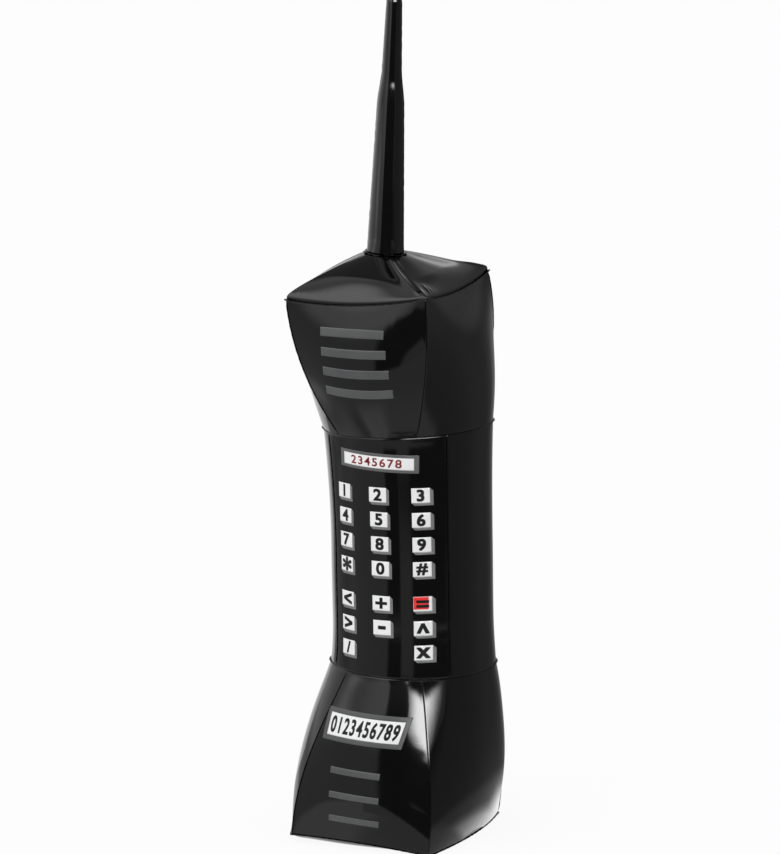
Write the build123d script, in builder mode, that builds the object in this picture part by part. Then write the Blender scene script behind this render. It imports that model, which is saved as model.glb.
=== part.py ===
from build123d import *
import math
import os

# Inflatable novelty brick phone: a welded vinyl skin in three tiers, with a
# stepped vinyl antenna on a domed top, printed keys and a plugged air valve.
# Millimetres, +Z up, keypad towards -Y, origin at the centre of the flat foot.

os.makedirs("parts", exist_ok=True)

# ---------------------------------------------------------------- vinyl film
film = 0.3                    # thickness of the vinyl
seam_lip = 2.0                # how far a welded margin stands proud
seam_gap = 0.02               # clearance of a level weld from the side films
corner_lip = 1.5              # the same, along the upright corner welds
corner_gap = 0.1              # root of a corner weld to the folded film
ink = 0.1                     # thickness of the printed layer
ink_gap = 0.1                 # clearance under the printed layer
skin_steps = 4                # spans between the outlines of one tier

# ------------------------------------------------------------ body, upright
foot_seam_height = 6.0        # weld between the bottom panel and the sides
lower_waist_height = 152.0
upper_waist_height = 370.0
top_seam_height = 498.5       # weld between the sides and the domed top
dome_rise = 30.5              # from the top seam to the antenna's foot
side_bend = 8.4               # sideways bow of the body at half its height

# ------------------------------------------------------------- body, across
top_width = 136.0
top_depth = 144.0
foot_width = 138.0
foot_depth = 155.0
upper_waist_radius = 75.5
lower_waist_radius = 73.0
neck_radius = 71.5            # halfway up the round keypad tier
waist_setback = 26.5          # the round tier stands this far to the back
block_edge_rise = 1.0         # bow of the straight edges of both blocks
upper_seam_angle = 32.5       # corner welds on the waists, from the middle
lower_seam_angle = 29.5
keypad_seam_angle = 48.5
keypad_turn = 3.0             # the round tier is twisted this far
upper_corner_swell = 7.0      # bulge of the corner welds halfway up a block
lower_corner_swell = 11.5
face_swell = 7.2              # extra bulge of a block's front and back
upper_side_swell = 5.0        # extra bulge of a block's sides
lower_side_swell = 6.5

# -------------------------------------------------------- top and bottom panel
dome_steps = 4
dome_swell = 5.0              # bulge between the hip folds of the dome
dome_steepness = 1.3          # 1 is a straight slope, 2 is level at the top
foot_flat_share = 0.72        # flat contact patch, as a share of the foot
foot_flat_rise = 9.0          # roundness of the contact patch's edges

# ------------------------------------------------------------------ antenna
antenna_foot_radius = 15.4
antenna_shoulder_radius = 11.7
antenna_neck_radius = 8.1
antenna_tip_radius = 6.6
antenna_shoulder_start = 138.0    # along the antenna, from its foot
antenna_shoulder_length = 34.0
antenna_slim_length = 50.3        # straight run between shoulder and tip
antenna_tip_length = 9.0
antenna_tip_fullness = 0.55       # 0 is a pointed tip, 1 a square one
antenna_lean = 2.8                # degrees, towards +X
antenna_flange_lip = 4.0
antenna_seam_lip = 1.4

# ---------------------------------------------------- printed grilles, upper
earpiece_bars = 4
earpiece_bar_width = 64.0
earpiece_bar_height = 8.0
earpiece_bar_pitch = 18.0
earpiece_drop = 31.0              # first bar below the top seam
earpiece_shift = -0.8             # sideways, from the body's middle plane

# ---------------------------------------------------- printed grilles, lower
mouthpiece_bars = 3
mouthpiece_bar_width = 49.5
mouthpiece_bar_height = 5.6
mouthpiece_bar_pitch = 21.0
mouthpiece_rise = 20.8            # last bar above the foot seam
mouthpiece_shift = -3.8
mouthpiece_tilt = -2.7

# -------------------------------------------------------- printed name plate
plate_width = 82.0
plate_height = 27.0
plate_border = 4.2
plate_drop = 44.0                 # its middle below the lower waist
plate_shift = 0.8
plate_tilt = -2.0

# ----------------------------------------------------------- printed display
display_width = 77.5
display_height = 16.2
display_border = 2.8
display_end_border = 5.0
display_drop = 22.4               # its middle below the upper waist
display_tilt = -2.1
display_shift = -1.0              # from the middle of the keypad tier

# -------------------------------------------------------------- printed keys
key_width = 18.0
key_height = 14.2
key_shadow = 2.9
key_column_angle = 30.5
key_first_drop = 52.4             # first row below the upper waist
key_row_pitch = 22.4
key_group_gap = 9.2               # extra space under the fourth row
red_key_border = 2.6

# ----------------------------------------------------------------- air valve
valve_skirt_radius = 14.0
valve_skirt_thickness = 0.5
valve_clearance = 0.3
valve_stem_radius = 5.0
valve_bore_radius = 3.4
valve_stem_length = 11.0          # below the surface of the skin
valve_collar_radius = 6.5
valve_collar_thickness = 1.6
valve_collar_lift = 0.4           # underside of the collar over the skin
valve_strap_reach = 15.0          # from the bore to the strap's fold
valve_strap_width = 4.0
valve_strap_thickness = 0.8
valve_strap_gap = 0.1             # strap over the collar
plug_shaft_clearance = 0.1
plug_shaft_length = 3.5
plug_shaft_taper = 0.5
plug_head_radius = 5.5
plug_head_thickness = 1.5
plug_tab_reach = 8.5
flap_radius = 4.8
flap_thickness = 0.5
flap_gap = 0.1

FRONT, RIGHT, BACK, LEFT = range(4)
body_middle = (top_seam_height + foot_seam_height) / 2
body_half_height = (top_seam_height - foot_seam_height) / 2
antenna_foot_height = top_seam_height + dome_rise


# ------------------------------------------------------------ bent body frame
def bend_offset(height):
    """Sideways place of the body's spine, a parabola between its two ends."""
    share = (height - body_middle) / body_half_height
    return side_bend * (1 - share**2)


def bend_slope(height):
    return -2 * side_bend * (height - body_middle) / body_half_height**2


def body_plane(height):
    """Plane square to the spine at this height, X to the right, Y to the back."""
    slope = bend_slope(height)
    return Plane(
        origin=(bend_offset(height), 0, height),
        x_dir=(1, 0, -slope),
        z_dir=(slope, 0, 1),
    )


# ------------------------------------------------------- four-sided outlines
class Outline:
    """Closed outline of four arcs on a plane: front, right, back and left."""

    def __init__(self, plane, corners, rises):
        self.plane = plane
        self.corners = [Vector(*corner) for corner in corners]
        self.rises = rises

    def side(self, number):
        """Start, end and outward direction of one side's chord."""
        start = self.corners[number]
        end = self.corners[(number + 1) % 4]
        along = (end - start).normalized()
        return start, end, Vector(along.Y, -along.X)

    def end_normals(self, number):
        """Outward directions of one side's arc at its start and its end."""
        start, end, outward = self.side(number)
        turn = math.degrees(2 * math.atan2(self.rises[number], (end - start).length / 2))
        return outward.rotate(Axis.Z, -turn), outward.rotate(Axis.Z, turn)

    def mitre(self, corner):
        """Step from a corner that moves both arcs beside it outwards by 1 mm."""
        before = self.end_normals((corner + 3) % 4)[1]
        after = self.end_normals(corner)[0]
        along = (before + after).normalized()
        return along * (1 / along.dot(before))

    def arc(self, number, offset=0.0):
        """Three points on one side's arc, moved outwards by the offset."""
        start, end, outward = self.side(number)
        middle = (start + end) * 0.5 + outward * (self.rises[number] + offset)
        first = start + self.mitre(number) * offset
        last = end + self.mitre((number + 1) % 4) * offset
        return first, middle, last


def blend(a, b, share):
    return a + (b - a) * share


def rectangle_corners(width, depth):
    x, y = width / 2, depth / 2
    return [(-x, -y), (x, -y), (x, y), (-x, y)]


def circle_corners(radius, angle, turn=0.0, setback=0.0):
    """Corner welds on a circle, this angle to each side of front and back."""
    corners = []
    for heading in (-angle, angle, 180 - angle, 180 + angle):
        bearing = math.radians(heading + turn)
        x = radius * math.sin(bearing)
        y = setback - radius * math.cos(bearing)
        corners.append((x, y))
    return corners


def circle_rises(radius, angle):
    narrow = radius * (1 - math.cos(math.radians(angle)))
    wide = radius * (1 - math.sin(math.radians(angle)))
    return [narrow, wide, narrow, wide]


# ------------------------------------------------------------ the three tiers
def block_outline(block, waist, share):
    """Outline of a block, from its square end (share 0) to its waist (share 1)."""
    bulge = 4 * share * (1 - share)
    swell = block["corner_swell"] * bulge / math.sqrt(2)
    corners = []
    for square, round_ in zip(block["corners"], waist["corners"]):
        x = blend(square[0], round_[0], share) + math.copysign(swell, square[0])
        y = blend(square[1], round_[1], share) + math.copysign(swell, square[1])
        corners.append((x, y))
    rises = []
    for number, rise in enumerate(waist["rises"]):
        extra = block["side_swell"] if number in (RIGHT, LEFT) else face_swell
        rises.append(blend(block_edge_rise, rise, share) + extra * bulge)
    height = blend(block["height"], waist["height"], share)
    return Outline(body_plane(height), corners, rises)


def block_tier(block, waist):
    shares = [step / skin_steps for step in range(skin_steps + 1)]
    return [block_outline(block, waist, share) for share in shares]


def round_waist(radius, angle, height):
    return {
        "corners": circle_corners(radius, angle, setback=waist_setback),
        "rises": circle_rises(radius, angle),
        "height": height,
    }


def keypad_radius(share):
    """Radius of the round tier, from the upper waist (0) to the lower one (1)."""
    mean = (upper_waist_radius + lower_waist_radius) / 2
    pinch = 4 * share * (1 - share) * (mean - neck_radius)
    return blend(upper_waist_radius, lower_waist_radius, share) - pinch


seam_half = film + seam_gap
keypad_top = upper_waist_height - seam_half
keypad_bottom = lower_waist_height + seam_half


def keypad_share(height):
    return (keypad_top - height) / (keypad_top - keypad_bottom)


def keypad_outline(height):
    radius = keypad_radius(keypad_share(height))
    corners = circle_corners(radius, keypad_seam_angle, keypad_turn, waist_setback)
    return Outline(body_plane(height), corners, circle_rises(radius, keypad_seam_angle))


upper_tier = block_tier(
    {
        "corners": rectangle_corners(top_width, top_depth),
        "corner_swell": upper_corner_swell,
        "side_swell": upper_side_swell,
        "height": top_seam_height - seam_half,
    },
    round_waist(upper_waist_radius, upper_seam_angle, upper_waist_height + seam_half),
)
lower_tier = block_tier(
    {
        "corners": rectangle_corners(foot_width, foot_depth),
        "corner_swell": lower_corner_swell,
        "side_swell": lower_side_swell,
        "height": foot_seam_height + seam_half,
    },
    round_waist(lower_waist_radius, lower_seam_angle, lower_waist_height - seam_half),
)
keypad_tier = [
    keypad_outline(blend(keypad_top, keypad_bottom, step / skin_steps))
    for step in range(skin_steps + 1)
]
tiers = {"upper": upper_tier, "keypad": keypad_tier, "lower": lower_tier}


def finish(piece, name):
    """Label a finished piece and write its file."""
    piece.part.label = name
    export_step(piece.part, f"parts/{name}.step")


# ------------------------------------------------------------- skin of a tier
def skin_strip(outline, number, inner, outer):
    """Thin closed strip along one side of an outline, between two offsets."""
    far = outline.arc(number, outer)
    near = outline.arc(number, inner)
    with BuildSketch(outline.plane) as strip:
        with BuildLine():
            ThreePointArc(far[0], far[1], far[2])
            Line(far[2], near[2])
            ThreePointArc(near[2], near[1], near[0])
            Line(near[0], far[0])
        make_face()
    return strip.sketch


def skin_panel(tier, number, inner=-film, outer=0.0):
    """One side's skin over a whole tier, lofted through its outlines."""
    with BuildPart() as panel:
        loft(sections=[skin_strip(outline, number, inner, outer) for outline in tier])
    return panel


valve_height = (keypad_top + keypad_bottom) / 2
valve_plane = Plane(
    origin=(bend_offset(valve_height), waist_setback + neck_radius, valve_height),
    x_dir=(1, 0, 0),
    z_dir=(0, 1, 0),
)
valve_hole_radius = valve_stem_radius + valve_clearance

for tier_name, tier in tiers.items():
    for side_name, number in (("front", FRONT), ("right", RIGHT), ("left", LEFT)):
        finish(skin_panel(tier, number), f"{tier_name}_{side_name}_panel")

finish(skin_panel(upper_tier, BACK), "upper_back_panel")
finish(skin_panel(lower_tier, BACK), "lower_back_panel")

with BuildPart() as keypad_back_panel:
    add(skin_panel(keypad_tier, BACK).part)
    with BuildSketch(valve_plane):
        Circle(valve_hole_radius)
    extrude(amount=valve_skirt_radius, both=True, mode=Mode.SUBTRACT)
finish(keypad_back_panel, "keypad_back_panel")


# --------------------------------------------------------------- top and foot
def outline_edges(outline, offset=0.0):
    """Four arcs of an outline moved outwards, in the outline's own plane."""
    with BuildLine() as edge:
        for number in range(4):
            ThreePointArc(*outline.arc(number, offset))
    return edge.edges()


def outline_face(outline):
    with BuildSketch(outline.plane) as face:
        make_face(outline_edges(outline))
    return face.sketch


antenna_base_plane = Plane(
    origin=(0, 0, antenna_foot_height),
    x_dir=(math.cos(math.radians(antenna_lean)), 0, -math.sin(math.radians(antenna_lean))),
    z_dir=(math.sin(math.radians(antenna_lean)), 0, math.cos(math.radians(antenna_lean))),
)


def blended_plane(low, high, share):
    """Plane between two others, with its origin and tilt shared out."""
    origin = blend(low.origin, high.origin, share)
    return Plane(
        origin=origin,
        x_dir=blend(low.x_dir, high.x_dir, share),
        z_dir=blend(low.z_dir, high.z_dir, share),
    )


def dome_outline(share):
    """Outline of the domed top, from its seam (0) to the antenna's foot (1)."""
    square = rectangle_corners(top_width, top_depth)
    ring = circle_corners(antenna_foot_radius, 45)
    bulge = dome_swell * 4 * share * (1 - share)
    corners = []
    rises = []
    for a, b in zip(square, ring):
        corners.append((blend(a[0], b[0], share), blend(a[1], b[1], share)))
    for rise in circle_rises(antenna_foot_radius, 45):
        rises.append(blend(block_edge_rise, rise, share) + bulge)
    climb = share * (dome_steepness - (dome_steepness - 1) * share)
    low = body_plane(top_seam_height).offset(film)
    high = antenna_base_plane.offset(-film)
    return Outline(blended_plane(low, high, climb), corners, rises)


with BuildPart() as dome:
    loft(sections=[outline_face(dome_outline(step / dome_steps)) for step in range(dome_steps + 1)])

with BuildPart() as top_panel:
    add(dome.part)
    add(Pos(0, 0, -film) * dome.part, mode=Mode.SUBTRACT)
    with BuildSketch(antenna_base_plane):
        Circle(antenna_foot_radius - film)
    extrude(amount=antenna_foot_radius, both=True, mode=Mode.SUBTRACT)
finish(top_panel, "top_panel")


def foot_outline(share):
    """Outline of the bottom panel, from its seam (0) to the flat patch (1)."""
    size = blend(1, foot_flat_share, share)
    corners = [(x * size, y * size) for x, y in rectangle_corners(foot_width, foot_depth)]
    low = body_plane(foot_seam_height).offset(-film)
    sink = share * (2 - share)
    rise = blend(block_edge_rise, foot_flat_rise, share)
    return Outline(blended_plane(low, Plane.XY, sink), corners, [rise] * 4)


with BuildPart() as foot_pan:
    loft(sections=[outline_face(foot_outline(share)) for share in (1, 0.5, 0)])

with BuildPart() as bottom_panel:
    add(foot_pan.part)
    add(Pos(0, 0, film) * foot_pan.part, mode=Mode.SUBTRACT)
finish(bottom_panel, "bottom_panel")


# --------------------------------------------------------------- welded seams
def seam_ring(outline, lip):
    """Welded margin of two films round an outline, as a flat ring."""
    with BuildPart() as ring:
        with BuildSketch(outline.plane):
            make_face(outline_edges(outline, lip))
            make_face(outline_edges(outline, -film), mode=Mode.SUBTRACT)
        extrude(amount=film, both=True)
    return ring


top_edge = Outline(
    body_plane(top_seam_height),
    rectangle_corners(top_width, top_depth),
    [block_edge_rise] * 4,
)
foot_edge = Outline(
    body_plane(foot_seam_height),
    rectangle_corners(foot_width, foot_depth),
    [block_edge_rise] * 4,
)
upper_waist = Outline(
    body_plane(upper_waist_height),
    circle_corners(upper_waist_radius, upper_seam_angle, setback=waist_setback),
    circle_rises(upper_waist_radius, upper_seam_angle),
)
lower_waist = Outline(
    body_plane(lower_waist_height),
    circle_corners(lower_waist_radius, lower_seam_angle, setback=waist_setback),
    circle_rises(lower_waist_radius, lower_seam_angle),
)
finish(seam_ring(top_edge, seam_lip), "top_seam")
finish(seam_ring(upper_waist, seam_lip), "upper_waist_seam")
finish(seam_ring(lower_waist, seam_lip), "lower_waist_seam")
finish(seam_ring(foot_edge, seam_lip), "foot_seam")


def corner_strip(outline, corner):
    """Cross-section of an upright corner weld, two films thick."""
    root = outline.corners[corner]
    out = outline.mitre(corner).normalized()
    across = Vector(-out.Y, out.X) * film
    near = root + out * corner_gap
    far = root + out * corner_lip
    with BuildSketch(outline.plane) as strip:
        with BuildLine():
            Polyline(near - across, far - across, far + across, near + across, close=True)
        make_face()
    return strip.sketch


for tier_name, tier in tiers.items():
    with BuildPart() as corner_seams:
        for corner in range(4):
            loft(sections=[corner_strip(outline, corner) for outline in tier])
    finish(corner_seams, f"{tier_name}_corner_seams")


# -------------------------------------------------------------------- antenna
shoulder_end = antenna_shoulder_start + antenna_shoulder_length
tip_start = shoulder_end + antenna_slim_length
antenna_length = tip_start + antenna_tip_length
antenna_side = Plane(
    origin=antenna_base_plane.origin,
    x_dir=antenna_base_plane.x_dir,
    z_dir=(0, -1, 0),
)
antenna_axis = Axis(antenna_base_plane.origin, antenna_base_plane.z_dir)


def antenna_profile(offset):
    """Points up one side of the antenna: cone, shoulder, slim cone and tip."""
    return [
        (antenna_foot_radius + offset, film),
        (antenna_shoulder_radius + offset, antenna_shoulder_start),
        (antenna_neck_radius + offset, shoulder_end),
        (antenna_tip_radius + offset, tip_start),
        (0, antenna_length + offset),
    ]


def antenna_side_line(offset):
    """Line up the antenna's side, with a smooth shoulder and a round tip."""
    foot, shoulder, neck, tip, end = antenna_profile(offset)
    tip_pull = tip[1] + antenna_tip_fullness * (end[1] - tip[1])
    end_pull = antenna_tip_fullness * tip[0]
    with BuildLine() as side_line:
        Line(foot, shoulder)
        Spline(
            shoulder,
            neck,
            tangents=[
                (shoulder[0] - foot[0], shoulder[1] - foot[1]),
                (tip[0] - neck[0], tip[1] - neck[1]),
            ],
        )
        Line(neck, tip)
        Bezier(tip, (tip[0], tip_pull), (end_pull, end[1]), end)
    return side_line.line


def antenna_panel(turn):
    """Half of the antenna's thin tube, from one side weld round to the other."""
    with BuildPart() as half_tube:
        with BuildSketch(antenna_side):
            with BuildLine():
                add(antenna_side_line(0.0))
                Line((0, antenna_length), (0, antenna_length - film))
                add(antenna_side_line(-film))
                Line(antenna_profile(-film)[0], antenna_profile(0.0)[0])
            make_face()
        revolve(axis=antenna_axis, revolution_arc=turn)
    return half_tube


finish(antenna_panel(-180), "antenna_front_panel")
finish(antenna_panel(180), "antenna_back_panel")


def antenna_fin(offset):
    """Upright blade on the antenna's side plane, under the side line."""
    with BuildPart() as blade:
        with BuildSketch(antenna_side):
            with BuildLine():
                add(antenna_side_line(offset))
                Polyline((0, antenna_length + offset), (0, film), antenna_profile(offset)[0])
            make_face()
        extrude(amount=film, both=True)
        mirror(about=Plane(antenna_base_plane.origin, x_dir=(0, 1, 0), z_dir=antenna_side.x_dir))
    return blade.part


with BuildPart() as antenna_side_seams:
    add(antenna_fin(antenna_seam_lip))
    add(antenna_fin(corner_gap), mode=Mode.SUBTRACT)
finish(antenna_side_seams, "antenna_side_seams")

with BuildPart() as antenna_flange:
    with BuildSketch(antenna_base_plane):
        Circle(antenna_foot_radius + antenna_flange_lip)
        Circle(antenna_foot_radius - film, mode=Mode.SUBTRACT)
    extrude(amount=film, both=True)
finish(antenna_flange, "antenna_flange")


# ------------------------------------------------------------- printed layers
def tilted_boxes(boxes):
    """Solid bars towards -Y from (x, z, width, height, tilt) in the front view."""
    with BuildPart() as bars:
        with BuildSketch(Plane.XZ):
            for x, z, width, height, tilt in boxes:
                with Locations(Location((x, z), tilt)):
                    Rectangle(width, height)
        extrude(amount=foot_depth)
    return bars.part


def print_on(tier, stencil, name):
    """Printed layer on the front of a tier, where the stencil's solids reach."""
    with BuildPart() as layer:
        add(skin_panel(tier, FRONT, ink_gap, ink_gap + ink).part)
        add(stencil, mode=Mode.INTERSECT)
    finish(layer, name)


earpiece_top = top_seam_height - earpiece_drop
print_on(
    upper_tier,
    tilted_boxes(
        (
            earpiece_shift,
            earpiece_top - row * earpiece_bar_pitch,
            earpiece_bar_width,
            earpiece_bar_height,
            0,
        )
        for row in range(earpiece_bars)
    ),
    "earpiece_bars",
)

mouthpiece_bottom = foot_seam_height + mouthpiece_rise
print_on(
    lower_tier,
    tilted_boxes(
        (
            mouthpiece_shift,
            mouthpiece_bottom + row * mouthpiece_bar_pitch,
            mouthpiece_bar_width,
            mouthpiece_bar_height,
            mouthpiece_tilt,
        )
        for row in range(mouthpiece_bars)
    ),
    "mouthpiece_bars",
)

plate_place = (plate_shift, lower_waist_height - plate_drop)
plate_outer = tilted_boxes([(*plate_place, plate_width, plate_height, plate_tilt)])
plate_inner = tilted_boxes(
    [
        (
            *plate_place,
            plate_width - 2 * plate_border,
            plate_height - 2 * plate_border,
            plate_tilt,
        )
    ]
)
print_on(lower_tier, plate_outer - plate_inner, "plate_frame")
print_on(lower_tier, plate_inner, "plate_field")

display_z = upper_waist_height - display_drop
display_bearing = math.radians(keypad_turn)
display_x = (
    bend_offset(display_z)
    + keypad_radius(keypad_share(display_z)) * math.sin(display_bearing)
    + display_shift
)
display_outer = tilted_boxes(
    [(display_x, display_z, display_width, display_height, display_tilt)]
)
display_inner = tilted_boxes(
    [
        (
            display_x,
            display_z,
            display_width - 2 * display_end_border,
            display_height - 2 * display_border,
            display_tilt,
        )
    ]
)
print_on(keypad_tier, display_outer - display_inner, "display_frame")
print_on(keypad_tier, display_inner, "display_window")


# ------------------------------------------------------------------ the keys
def key_row_height(row):
    """Middle height of a row of keys; the first four rows are the dial keys."""
    drop = key_first_drop + row * key_row_pitch
    if row > 3:
        drop += key_group_gap
    return upper_waist_height - drop


def key_span(column, row):
    """Left and right edge of a key in the front view, on the round tier."""
    height = key_row_height(row)
    radius = keypad_radius(keypad_share(height))
    bearing = math.radians(keypad_turn + column * key_column_angle)
    half = key_width / 2 / radius
    middle = bend_offset(height)
    return middle + radius * math.sin(bearing - half), middle + radius * math.sin(bearing + half)


key_places = [(column, row) for row in range(7) for column in (-1, 0, 1)]
key_places.remove((0, 6))
red_key_place = (1, 4)


def key_box(column, row, border=0.0):
    left, right = key_span(column, row)
    width = right - left - 2 * border
    height = key_height - 2 * border
    return (left + right) / 2, key_row_height(row), width, height, 0


def key_shadow_points(column, row):
    """Six-sided drop shadow, right of a key and under it."""
    left, right = key_span(column, row)
    top = key_row_height(row) + key_height / 2
    bottom = top - key_height
    return [
        (right, top),
        (right + key_shadow, top - key_shadow),
        (right + key_shadow, bottom - key_shadow),
        (left + key_shadow, bottom - key_shadow),
        (left, bottom),
        (right, bottom),
    ]


red_patch = tilted_boxes([key_box(*red_key_place, red_key_border)])
key_faces = tilted_boxes(key_box(column, row) for column, row in key_places)
print_on(keypad_tier, key_faces - red_patch, "key_faces")
print_on(keypad_tier, red_patch, "red_key_patch")

with BuildPart() as shadow_stencil:
    with BuildSketch(Plane.XZ):
        for column, row in key_places:
            with BuildLine():
                Polyline(*key_shadow_points(column, row), close=True)
            make_face()
    extrude(amount=foot_depth)
print_on(keypad_tier, shadow_stencil.part, "key_shadows")

# ------------------------------------------------------------------ air valve
collar_top = valve_collar_lift + valve_collar_thickness
skirt_top = -film - ink_gap

with BuildPart() as valve_skirt:
    add(skin_panel(keypad_tier, BACK, skirt_top - valve_skirt_thickness, skirt_top).part)
    with BuildSketch(valve_plane):
        Circle(valve_skirt_radius)
        Circle(valve_hole_radius, mode=Mode.SUBTRACT)
    extrude(amount=valve_skirt_radius, both=True, mode=Mode.INTERSECT)
finish(valve_skirt, "valve_skirt")

with BuildPart() as valve_stem:
    with BuildSketch(valve_plane.offset(-valve_stem_length)):
        Circle(valve_stem_radius)
    extrude(amount=valve_stem_length + valve_collar_lift)
    with BuildSketch(valve_plane.offset(valve_collar_lift)):
        Circle(valve_collar_radius)
        with Locations((0, valve_strap_reach / 2)):
            Rectangle(valve_strap_width, valve_strap_reach)
    extrude(amount=valve_collar_thickness)
    with BuildSketch(valve_plane.offset(-valve_stem_length)):
        Circle(valve_bore_radius)
    extrude(amount=valve_stem_length + collar_top, mode=Mode.SUBTRACT)
finish(valve_stem, "valve_stem")

strap_underside = collar_top + valve_strap_gap
plug_radius = valve_bore_radius - plug_shaft_clearance
with BuildPart() as valve_plug:
    with BuildSketch(valve_plane.offset(strap_underside)):
        Circle(plug_head_radius)
    extrude(amount=plug_head_thickness)
    with BuildSketch(valve_plane.offset(strap_underside)):
        with Locations((0, (valve_strap_reach - plug_tab_reach) / 2)):
            Rectangle(valve_strap_width, valve_strap_reach + plug_tab_reach)
    extrude(amount=valve_strap_thickness)
    with BuildSketch(valve_plane.offset(strap_underside)):
        Circle(plug_radius)
    with BuildSketch(valve_plane.offset(collar_top - plug_shaft_length)):
        Circle(plug_radius - plug_shaft_taper)
    loft()
finish(valve_plug, "valve_plug")

with BuildPart() as valve_flap:
    with BuildSketch(valve_plane.offset(-valve_stem_length - flap_gap)):
        Circle(flap_radius)
    extrude(amount=-flap_thickness)
finish(valve_flap, "valve_flap")
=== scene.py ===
import logging
import math
from dataclasses import dataclass, field, replace
from enum import Enum
from typing import Callable, Sequence

import bmesh
import bpy
import numpy as np
from mathutils import Matrix, Vector


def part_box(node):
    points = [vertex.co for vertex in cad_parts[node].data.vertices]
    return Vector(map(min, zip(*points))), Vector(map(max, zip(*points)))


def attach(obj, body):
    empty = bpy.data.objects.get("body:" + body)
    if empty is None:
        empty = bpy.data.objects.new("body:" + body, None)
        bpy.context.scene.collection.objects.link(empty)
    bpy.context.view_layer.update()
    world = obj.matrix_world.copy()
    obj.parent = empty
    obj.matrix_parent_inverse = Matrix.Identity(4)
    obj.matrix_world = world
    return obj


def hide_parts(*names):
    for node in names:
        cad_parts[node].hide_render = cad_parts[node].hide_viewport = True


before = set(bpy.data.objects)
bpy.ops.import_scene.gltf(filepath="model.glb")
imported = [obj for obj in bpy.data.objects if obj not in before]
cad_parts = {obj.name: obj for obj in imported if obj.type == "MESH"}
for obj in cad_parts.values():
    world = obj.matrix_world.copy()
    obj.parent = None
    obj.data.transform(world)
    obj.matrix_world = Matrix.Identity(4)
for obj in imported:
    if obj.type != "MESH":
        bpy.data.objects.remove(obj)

Array = np.ndarray
Pair = tuple[float, float]
Colour = tuple[float, float, float]
Object = bpy.types.Object
Socket = bpy.types.NodeSocket
Shell = bmesh.types.BMesh

log = logging.getLogger("inflatable_phone")

# All lengths are in metres.
MM = 0.001
FILM = 0.3 * MM
WELD_ROOT = 0.3 * MM
BLADE_HALF = 0.16 * MM
EDGE_RISE = 1 * MM
SETBACK = 25.05 * MM
SIDES = 4
PHASES = 6.283
SMALL_STEP = 1e-3
SAME_PLACE = 1e-7
NO_LENGTH = 1e-12


class Side(Enum):
    """The four sides of the body, counted round from the keypad side."""

    FRONT = 0
    RIGHT = 1
    BACK = 2
    LEFT = 3


class Grain(Enum):
    """Scale of a finish's finest bump, in waves a metre."""

    FILM = 620.0
    FINE = 1500.0


# --- small maths
def lerp(a: Array, b: Array, share: Array) -> Array:
    """Straight blend: a at share 0, b at share 1."""
    return a + (b - a) * share


def smoothstep(low: float, high: float, x: Array) -> Array:
    """Soft step from 0 to 1: 3 t squared less 2 t cubed, t being the share of the way."""
    t = np.clip((x - low) / (high - low), 0.0, 1.0)
    return t * t * (3.0 - 2.0 * t)


def window(x: Array, rise: Pair, fall: Pair) -> Array:
    """Soft step up over the first pair of places, times a soft step down over the second."""
    return smoothstep(*rise, x) * (1 - smoothstep(*fall, x))


def bell(x: Array, centre: float, width: float) -> Array:
    """Bell curve of height 1: e to the minus square of the distance over the width."""
    return np.exp(-(((x - centre) / width) ** 2))


def arch(t: Array) -> Array:
    """Arch from 0 to 1: 4 t (1 - t), which is 1 midway."""
    return 4 * t * (1 - t)


def hump(x: Array) -> Array:
    """Quick rise and slow fade: x e^(1 - x), which is 1 where x is 1."""
    return x * np.exp(1 - x)


def unit(vectors: Array) -> Array:
    """Vectors scaled to length 1 along the last axis."""
    return vectors / np.maximum(np.linalg.norm(vectors, axis=-1, keepdims=True), NO_LENGTH)


def waves(x: Array, y: Array, length: float, seed: int, count: int = 7) -> Array:
    """Gentle random swell: a mean of sines in random directions round one length.

    Args:
        x: First coordinate.
        y: Second coordinate.
        length: Wavelength that the swell is built round.
        seed: Number that picks the directions and phases.
        count: How many sines are added.

    Returns:
        Height between about -1 and 1, of the shape of x and y.
    """
    draw = np.random.default_rng(seed)
    total = np.zeros(np.broadcast(x, y).shape)
    draws = draw.uniform([0, 0, 0.7], [PHASES, PHASES, 1.5], (count, 3))
    for heading, phase, stretch in draws:
        turn = 2 * math.pi / (length * stretch)
        total = total + np.sin(turn * (x * math.cos(heading) + y * math.sin(heading)) + phase)
    return total / math.sqrt(count * 2)


def ripple(along: Array, length: float, seed: int) -> Array:
    """Uneven ripple along an edge: sines of three near lengths, swelling and fading.

    Args:
        along: Distance along the edge.
        length: Main wavelength.
        seed: Number that picks the phases.

    Returns:
        Height between about -1 and 1.
    """
    draw = np.random.default_rng(seed)
    a, b, c, d = draw.uniform(0, PHASES, 4)
    turn = 2 * math.pi / length
    swell = 0.55 + 0.45 * np.sin(along * turn / 5.3 + d)
    parts = np.sin(along * turn + a) + 0.6 * np.sin(along * turn * 1.37 + b)
    return swell * (parts + 0.4 * np.sin(along * turn * 0.61 + c)) / 1.6


@dataclass(frozen=True)
class Pucker:
    """Wrinkles that stand on a weld: their height, wavelength and reach from it."""

    height: float
    length: float
    reach: float

    def lift(self, along: Array, away: Array, seed: int) -> Array:
        """A ripple along the weld, times e to the minus distance from it over the reach."""
        return self.height * ripple(along, self.length, seed) * np.exp(-away / self.reach)


# --- mesh building
def add_object(name: str, data: bpy.types.ID) -> Object:
    """Makes an object of some data, at the origin, and links it to the scene.

    Args:
        name: Its name.
        data: Its mesh, curve, lamp or lens.

    Returns:
        The object.
    """
    item = bpy.data.objects.new(name, data)
    bpy.context.scene.collection.objects.link(item)
    return item


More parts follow.
